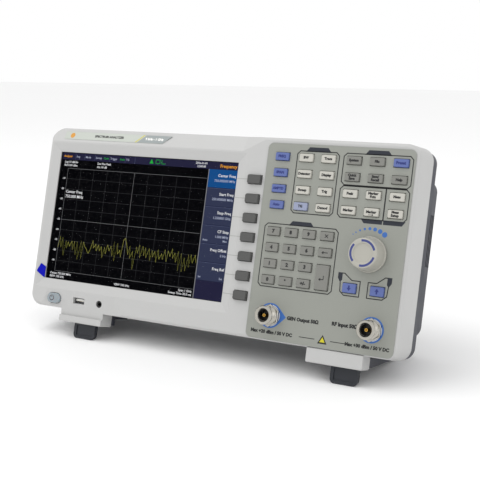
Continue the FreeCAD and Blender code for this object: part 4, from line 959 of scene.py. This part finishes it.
class ANALYZER_OT_legends(bpy.types.Operator):
    """Print the legends on the keys; each rides with its key."""
    bl_idname = "analyzer.legends"
    bl_label = "Key legends"

    def execute(self, context):
        """Print words, digits and arrows."""
        sizes = context.scene.analyzer_sizes
        self.small = sizes.legend_high * 1000
        self.large = sizes.digit_high * 1000
        for node, word in zip(MEASURE_KEYS, ("FREQ", "SPAN", "AMPTD", "Auto")):
            self.word(node, word, self.small * 1.02, "blue key ink", "key_blue")
        self.word("preset_key", "Preset", self.small * 1.08, "blue key ink", "key_blue")
        for number, node in enumerate(DIGITS):
            self.word(node, str(number), self.large, "ink", "key_grey")
        self.word("sign_key", "+/-", self.large * 0.95, "ink", "key_grey")
        self.word("point_key", ".", self.large * 1.5, "ink", "key_grey")
        self.grid("control_keys", CONTROL_GRID, "key_light",
                  ["BW", "Trace", "Detector", "Display", "Sweep", "Trig", "TG", "Demod"])
        self.grid("system_keys", SYSTEM_GRID, "key_grey",
                  ["System", "File", "Quick\nSave", "Save/\nRecall", "Help"])
        self.grid("marker_keys", MARKER_GRID, "key_light",
                  ["Peak", "Marker\nFctn", "Meas", "Marker", "Marker", "Meas\nSetup"])
        self.signs()
        self.power_sign()
        return {"FINISHED"}

    def front(self, node):
        """Depth of a key's cap face."""
        return case_box(node)[0].y

    def word(self, node, text, size, material, slot):
        """A word in the middle of one key."""
        middle = case_middle(node)
        lift = size * 0.42 if text == "." else 0.0
        lettering(f"legend_{node}", [(text, size, middle.x, middle.z + lift, "CENTER")], self.front(node),
                  material, node, bold=LEGEND_BOLD)

    def grid(self, node, places, slot, legends):
        """Words on the caps of a node that holds several, in one line or two."""
        pitch = 2.7
        lines = []
        for (x, z), legend in zip(key_grid(node, *places), legends):
            words = legend.split("\n")
            for index, text in enumerate(words):
                rise = pitch * ((len(words) - 1) / 2 - index)
                lines.append((text, self.small, x, z + rise, "CENTER"))
        lettering(f"legend_{node}", lines, self.front(node), "ink", node, bold=LEGEND_BOLD)

    def arrow(self, grown, x, z, near, far, turn, long_way, wide=0.5, head=1.5):
        """A plain arrow that points along an angle."""
        way = Vector((math.cos(turn), math.sin(turn)))
        side = Vector((-way.y, way.x))
        start = Vector((x, z)) - way * long_way / 2
        neck = Vector((x, z)) + way * (long_way / 2 - head)
        tip = Vector((x, z)) + way * long_way / 2
        points = [start - side * wide / 2, neck - side * wide / 2, neck - side * head * 0.75, tip,
                  neck + side * head * 0.75, neck + side * wide / 2, start + side * wide / 2]
        add_prism(grown, [tuple(point) for point in points], near, far)

    def sign(self, node, material, slot, draw):
        """A drawn sign on one key."""
        middle = case_middle(node)
        front = self.front(node)

        def build(grown):
            draw(grown, middle.x, middle.z, front - 0.04, front - 0.002)
        printed(f"legend_{node}", build, material, node)

    def signs(self):
        """Arrows, cross and the return sign."""
        self.sign("down_key", "blue key ink", "key_blue", lambda grown, x, z, near, far:
                  self.arrow(grown, x, z, near, far, -math.pi / 2, 4.4, 1.3, 2.4))
        self.sign("up_key", "blue key ink", "key_blue", lambda grown, x, z, near, far:
                  self.arrow(grown, x, z, near, far, math.pi / 2, 4.4, 1.3, 2.4))
        self.sign("back_key", "ink", "key_grey", lambda grown, x, z, near, far:
                  self.arrow(grown, x, z, near, far, math.pi, 5.6, 0.65, 1.8))

        def cross(grown, x, z, near, far):
            for way in (-1, 1):
                add_stroke(grown, [(x - 1.4, z - 1.4 * way), (x + 1.4, z + 1.4 * way)], 0.65, near,
                           far, closed=False)
        self.sign("cancel_key", "ink", "key_grey", cross)

        def enter(grown, x, z, near, far):
            self.arrow(grown, x - 0.4, z - 1.6, near, far, math.pi, 4.6, 0.65, 1.8)
            add_block(grown, x + 1.3, x + 1.9, z - 1.9, z + 1.6, near, far)
        self.sign("enter_key", "ink", "key_grey", enter)
        x, z = key_grid("marker_keys", *MARKER_GRID)[4]
        front = self.front("marker_keys")
        printed("legend_marker_arrow", lambda grown: self.arrow(
            grown, x, z - 2.3, front - 0.04, front - 0.002, 0.0, 4.4, 0.4, 1.2), "ink", "marker_keys")

    def power_sign(self):
        """Ring and bar on the left part of the power key."""
        middle = case_middle("power_key")
        x = middle.x - 1.9

        def draw(grown, _x, z, near, far):
            add_stroke(grown, disc_outline(x, z, 2.3, 24, 120, 300), 0.6, near, far, closed=False)
            add_block(grown, x - 0.3, x + 0.3, z + 0.6, z + 3.0, near, far)
        self.sign("power_key", "ink", "power_clear", draw)


class ANALYZER_OT_knob(bpy.types.Operator):
    """Turn the knob: coned side, rolled rim, shallow dish and three printed arcs."""
    bl_idname = "analyzer.knob"
    bl_label = "Knob"

    def execute(self, context):
        """Build the knob in place of the plain node."""
        low, high = case_box("knob")
        x, z = (low.x + high.x) / 2, (low.z + high.z) / 2
        radius = (high.x - low.x) / 2
        top, foot = low.y, -PANEL_THICK - 0.5
        rim = radius - 2.3
        edge, dish, ring = 1.1, rim * 0.6, rim * 0.7
        profile = [(0, top + 1.0), (dish, top + 1.0)]
        profile += [(dish + (ring - dish) * step / 6, top + 0.5 + 0.5 * math.cos(math.pi * step / 6))
                    for step in range(1, 7)]
        profile += [(rim - edge + edge * math.sin(math.radians(angle)),
                     top + edge - edge * math.cos(math.radians(angle))) for angle in range(0, 91, 15)]
        profile += [(radius - 0.5, foot - 3.4)]
        profile += [(radius - 0.5 + 0.5 * math.sin(math.radians(angle)), foot - 2.6 + 0.5 * (
            angle / 90)) for angle in (0, 30, 60, 90)]
        profile += [(radius, foot - 0.4), (radius - 0.4, foot), (4.8, foot), (4.8, foot - 5), (3, foot - 5),
                    (3, high.y), (0, high.y)]
        mesh = lathe_mesh("knob_cap", profile, x, z, 96)
        knob = finish_piece("knob_cap", mesh, "knob plastic", "knob", smooth=38)
        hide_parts("knob")

        def arcs(grown):
            for start in (17, 140, 262):
                add_stroke(grown, disc_outline(x, z, rim * 0.82, 18, start, 84), 1.8, top - 0.04, top + 0.1,
                           closed=False)
        printed("knob_arcs", arcs, "knob print", "knob")
        return {"FINISHED"}


class ANALYZER_OT_coaxial(bpy.types.Operator):
    """Cut the two coaxial connectors: rolled thread, hexagon nut, insulator and gold contact."""
    bl_idname = "analyzer.coaxial"
    bl_label = "Coaxial connectors"

    def execute(self, context):
        """Build both connectors in place of the plain nodes."""
        pitch = context.scene.analyzer_sizes.thread_pitch * 1000
        for node in ("gen_output_connector", "rf_input_connector"):
            self.connector(node, pitch)
        return {"FINISHED"}

    def connector(self, node, pitch):
        """One connector with its nut, washer, insulator and contact."""
        low, high = case_box(node)
        x, z = (low.x + high.x) / 2, (low.z + high.z) / 2
        mouth, radius, bore = low.y, 7.94, 5.1
        thread_from, thread_to, thread_deep = mouth + 1.2, -PANEL_THICK - 3.3, 0.5

        def thread(reach, depth, angle):
            if reach < radius - 0.01 or not thread_from <= depth <= thread_to:
                return reach
            share = ((depth - thread_from) / pitch - angle / (2 * math.pi)) % 1.0
            fade = min(1.0, (depth - thread_from) / pitch, (thread_to - depth) / pitch)
            return reach - thread_deep * fade * (1 - abs(2 * share - 1))

        steps = int((thread_to - thread_from) / pitch * 6)
        profile = [(bore, mouth + 10), (bore, mouth + 0.8), (bore + 0.6, mouth), (radius - 1.0, mouth),
                   (radius - 0.6, mouth + 0.1), (radius, mouth + 0.9)]
        profile += [(radius, thread_from + (thread_to - thread_from) * index / steps)
                    for index in range(steps + 1)]
        profile += [(radius, -PANEL_THICK), (5, -PANEL_THICK), (5, high.y), (0, high.y), (0, mouth + 10),
                    (bore, mouth + 10)]
        barrel = finish_piece(f"{node}_barrel", lathe_mesh("barrel", profile, x, z, 72, thread),
                              "nickel plate", "case", smooth=30)
        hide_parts(node)
        nut_near, nut_far = -PANEL_THICK - 3.1, -PANEL_THICK - 0.5
        corners = 8.4 / math.cos(math.pi / 6)

        def nut(grown):
            add_loft(grown, [
                [(corner_x, depth, corner_z) for corner_x, corner_z in
                 disc_outline(x, z, corners * shrink, 6, 30)]
                for depth, shrink in ((nut_near, 0.93), (nut_near + 0.5, 1.0), (nut_far, 1.0))])
        printed(f"{node}_nut", nut, "nickel plate", "case")
        washer = [(8.0, nut_far), (8.9, nut_far), (9.1, nut_far + 0.15), (9.1, -PANEL_THICK - 0.05),
                  (8.0, -PANEL_THICK - 0.05), (8.0, nut_far)]
        turned(f"{node}_washer", washer, (x, z), 64, "steel plate")
        lining = [(bore - 0.05, mouth + 1.2), (bore - 0.05, mouth + 9.9), (0, mouth + 9.9), (0, mouth + 8.2),
                  (bore - 0.5, mouth + 8.2), (bore - 0.5, mouth + 1.6), (bore - 0.05, mouth + 1.2)]
        turned(f"{node}_lining", lining, (x, z), 40, "socket plastic")
        contact = [(0.8, mouth + 6), (0.8, mouth + 2.6), (1.3, mouth + 2.6), (1.6, mouth + 3.0),
                   (1.6, mouth + 8.2), (0, mouth + 8.2), (0, mouth + 6), (0.8, mouth + 6)]
        turned(f"{node}_contact", contact, (x, z), 32, "gold plate")


class ANALYZER_OT_front_sockets(bpy.types.Operator):
    """Finish the USB and headphone sockets."""
    bl_idname = "analyzer.front_sockets"
    bl_label = "Front sockets"

    def execute(self, context):
        """Add the tongue, the contacts and the plastic ring round the jack."""
        low, high = case_box("usb_host_socket")
        x, z = (low.x + high.x) / 2, (low.z + high.z) / 2

        def tongue(grown):
            add_prism(grown, rounded_outline(x - 5.5, x + 5.5, z - 0.1, z + 1.9, 0.3, 3), low.y + 0.6,
                      low.y + 12)
        printed("usb_tongue", tongue, "white plastic", "case")

        def contacts(grown):
            for offset in (-3.5, -1.0, 1.0, 3.5):
                add_block(grown, x + offset - 0.5, x + offset + 0.5, z - 0.3, z - 0.12, low.y + 1.4,
                          low.y + 9)
        printed("usb_contacts", contacts, "gold plate", "case")
        jack = case_middle("headphone_jack")
        face = case_box("headphone_jack")[0].y
        ring = [(1.85, face + 0.4), (1.85, face - 0.12), (2.2, face - 0.3), (2.7, face - 0.22),
                (2.9, face - 0.02), (2.9, face), (1.85, face + 0.4)]
        turned("jack_ring", ring, (jack.x, jack.z), 40, "socket plastic", smooth=40)
        return {"FINISHED"}


class ANALYZER_OT_badge(bpy.types.Operator):
    """Lay the plain name strip on the light facet above the display."""
    bl_idname = "analyzer.badge"
    bl_label = "Name strip"

    def execute(self, context):
        """Build the strip, its slash, its grey field and plain words, on the sloped facet."""
        slope = 5.2 / 13.15
        base = 160.5

        left, right, low, top = -171.0, -50.0, 162.9, 170.6
        middle = (low + top) / 2
        pieces = (
            ("badge_strip", "badge film", [(left, low), (right - 8, low), (right, top), (left, top)], 0.16),
            ("badge_field", "badge grey", [(right - 36, low + 0.1), (right - 8, low + 0.1),
                                           (right, top - 0.1), (right - 28, top - 0.1)], 0.2),
            ("badge_slash", "yellow ink", [(right - 38.5, low + 0.1), (right - 37.2, low + 0.1),
                                           (right - 29.2, top - 0.1), (right - 30.5, top - 0.1)], 0.22),
            ("badge_mark", "amber ink", disc_outline(left + 9, middle, 2.6), 0.2),
        )
        for name, material, outline, lift in pieces:
            def build(grown):
                add_loft(grown, [[(x, (z - base) * slope - out, z) for x, z in outline]
                                 for out in (lift, -0.05)])
            printed(name, build, material, "case")
        tilt = Matrix.Rotation(math.atan(slope), 4, "X")
        facing = tilt.inverted() @ FACING
        depth = (middle - base) * slope - 0.26
        lettering("badge_words", [("SPECTRUM ANALYZER", 3.3, left + 52, middle, "CENTER")], depth + 0.04,
                  "ink", "case", facing=facing)
        lettering("badge_range", [("9 kHz - 1 GHz", 3.3, right - 18, middle, "CENTER")], depth + 0.04,
                  "badge white", "case", facing=facing)
        return {"FINISHED"}


class ANALYZER_OT_rear(bpy.types.Operator):
    """Finish the back: grip on the handle, socket contacts, insulators and plain words."""
    bl_idname = "analyzer.rear"
    bl_label = "Rear parts"

    def execute(self, context):
        """Add the fine parts behind."""
        self.grip()
        self.sockets()
        self.socket_words()
        return {"FINISHED"}

    def grip(self):
        """A ribbed rubber sleeve on the handle's bar."""
        low, high = case_box("carrying_handle")
        y, z = high.y - 5, (low.z + high.z) / 2
        ribs, half = 26, 50.0

        def build(grown):
            rings = []
            for index in range(ribs * 4 + 1):
                x = -half + 2 * half * index / (ribs * 4)
                swell = 0.55 if index % 4 in (1, 2) else 0.0
                section = rounded_outline(y - 5.3 - swell, y + 5.0, z - 3.9 - swell * 0.3,
                                          z + 3.9 + swell * 0.3, 2.2, 4)
                rings.append([(x, depth, height) for depth, height in section])
            add_loft(grown, rings)
        finish_piece("handle_grip", mesh_from(build, "handle_grip"), "grip rubber", "carrying_handle",
                     smooth=40)

    def sockets(self):
        """Gold contacts and white insulators in the rear connectors."""
        low, high = case_box("bnc_connectors")
        z = (low.z + high.z) / 2
        half = (high.z - low.z) / 2
        for index in range(3):
            x = low.x + half + (high.x - low.x - 2 * half) * index / 2
            insulator = [(1.0, high.y - 7), (3.5, high.y - 7), (3.5, high.y - 2.2), (3.0, high.y - 1.9),
                         (1.0, high.y - 1.9), (1.0, high.y - 7)]
            turned(f"bnc_insulator_{index + 1}", insulator, (x, z), 32, "white plastic")
        data_low, data_high = case_box("data_sockets")
        lan_x = data_low.x + 7.9

        def contacts(grown):
            for index in range(8):
                x = lan_x - 3.6 + index * 1.02
                add_block(grown, x - 0.2, x + 0.2, z + 1.6, z + 3.3, data_high.y - 8, data_high.y - 3)
        printed("lan_contacts", contacts, "gold plate", "case")
        centre = case_middle("mains_inlet").x
        mouth = case_box("mains_inlet")[1].y

        def blades(grown):
            for x, height in ((0, 3.5), (-7, -2.5), (7, -2.5)):
                blade = rounded_outline(centre + x - 1.15, centre + x + 1.15, z + height - 2.15,
                                        z + height + 2.15, 0.4, 3)
                add_prism(grown, blade, mouth - 16, mouth - 5.6)
        printed("inlet_blades", blades, "nickel plate", "case")

    def socket_words(self):
        """Plain words above the rear sockets."""
        back = case_box("rear_cover")[1].y
        size = 4.0
        words = [(text, size, x, z, "CENTER") for text, x, z in (
            ("LAN", -62, 56), ("USB", -38, 56), ("REF IN", 30, 56), ("REF OUT", 56, 56),
            ("TRIG IN", 82, 56), ("AC 100-240 V", -128, 61))]
        lettering("rear_words", words, back, "badge white", "case", facing=FACING_BACK)


class ANALYZER_OT_stage(bpy.types.Operator):
    """Set the floor, the soft studio light and the camera."""
    bl_idname = "analyzer.stage"
    bl_label = "Stage"

    def execute(self, context):
        """Build the stage."""
        studio = context.scene.analyzer_studio
        self.floor()
        self.room(context.scene, studio)
        self.lights(studio)
        self.camera(context.scene, studio)
        return {"FINISHED"}

    def floor(self):
        """A pale matte floor."""
        grown = bmesh.new()
        bmesh.ops.create_grid(grown, x_segments=2, y_segments=2, size=6.0)
        mesh = bpy.data.meshes.new("floor")
        grown.to_mesh(mesh)
        grown.free()
        floor = bpy.data.objects.new("floor", mesh)
        bpy.context.scene.collection.objects.link(floor)
        mesh.materials.append(set_shader(new_material("floor paint"), Base_Color=(0.93, 0.93, 0.93, 1),
                                         Roughness=0.9, Specular_IOR_Level=0.1))

    def room(self, scene, studio):
        """Even white light from all round."""
        world = bpy.data.worlds.new("room")
        world.use_nodes = True
        sky = world.node_tree.nodes["Background"]
        sky.inputs["Color"].default_value = (1, 1, 1, 1)
        sky.inputs["Strength"].default_value = studio.sky
        scene.world = world
        scene.view_settings.view_transform = "Standard"

    def lights(self, studio):
        """A large key light from the upper left and a fill from the right."""
        for name, place, size, power in (("key_light", (-0.7, -0.6, 1.9), 1.4, studio.key_power),
                                         ("fill_light", (1.5, -0.7, 0.7), 1.0, studio.fill_power)):
            lamp = bpy.data.lights.new(name, "AREA")
            lamp.size = size
            lamp.energy = power
            light = bpy.data.objects.new(name, lamp)
            light.location = place
            light.rotation_euler = (Vector((0, 0, 0.1)) - light.location).to_track_quat("-Z", "Y").to_euler()
            bpy.context.scene.collection.objects.link(light)

    def camera(self, scene, studio):
        """A level camera, to the right of the front and a little above."""
        aim = CASE @ Vector((34.7, 0, 83.4))
        back = (CASE.to_3x3() @ Vector((0.47665, -0.87827, -0.03792))).normalized()
        view = bpy.data.cameras.new("camera")
        view.lens = studio.lens
        view.sensor_width = 36.0
        camera = bpy.data.objects.new("camera", view)
        camera.location = aim + back * studio.distance
        camera.rotation_euler = back.to_track_quat("Z", "Y").to_euler()
        scene.collection.objects.link(camera)
        scene.camera = camera


# ------------------------------------------------------------------ panel and registration

STEPS = (ANALYZER_OT_finishes, ANALYZER_OT_display, ANALYZER_OT_panel_print, ANALYZER_OT_legends,
         ANALYZER_OT_knob, ANALYZER_OT_coaxial, ANALYZER_OT_front_sockets, ANALYZER_OT_badge,
         ANALYZER_OT_rear, ANALYZER_OT_stage)
SETTINGS = {"analyzer_colours": AnalyzerColours, "analyzer_sizes": AnalyzerSizes,
            "analyzer_studio": AnalyzerStudio}


class ANALYZER_PT_sidebar(bpy.types.Panel):
    """Settings and build steps of the analyzer."""
    bl_label = "Analyzer"
    bl_idname = "ANALYZER_PT_sidebar"
    bl_space_type = "VIEW_3D"
    bl_region_type = "UI"
    bl_category = "Analyzer"

    def draw(self, context):
        """List the settings, then the steps."""
        for word, kind in SETTINGS.items():
            for setting in kind.__annotations__:
                self.layout.prop(getattr(context.scene, word), setting)
        for step in STEPS:
            self.layout.operator(step.bl_idname)


CLASSES = (*SETTINGS.values(), *STEPS, ANALYZER_PT_sidebar)


def register():
    """Register the classes and hang the settings on the scene."""
    for kind in CLASSES:
        bpy.utils.register_class(kind)
    for word, kind in SETTINGS.items():
        setattr(bpy.types.Scene, word, PointerProperty(type=kind))


def unregister():
    """Take the settings and the classes away again."""
    for word in SETTINGS:
        delattr(bpy.types.Scene, word)
    for kind in reversed(CLASSES):
        bpy.utils.unregister_class(kind)


def main():
    """Build everything in order."""
    register()
    for step in STEPS:
        family, action = step.bl_idname.split(".")
        getattr(getattr(bpy.ops, family), action)()


if __name__ == "__main__":
    main()
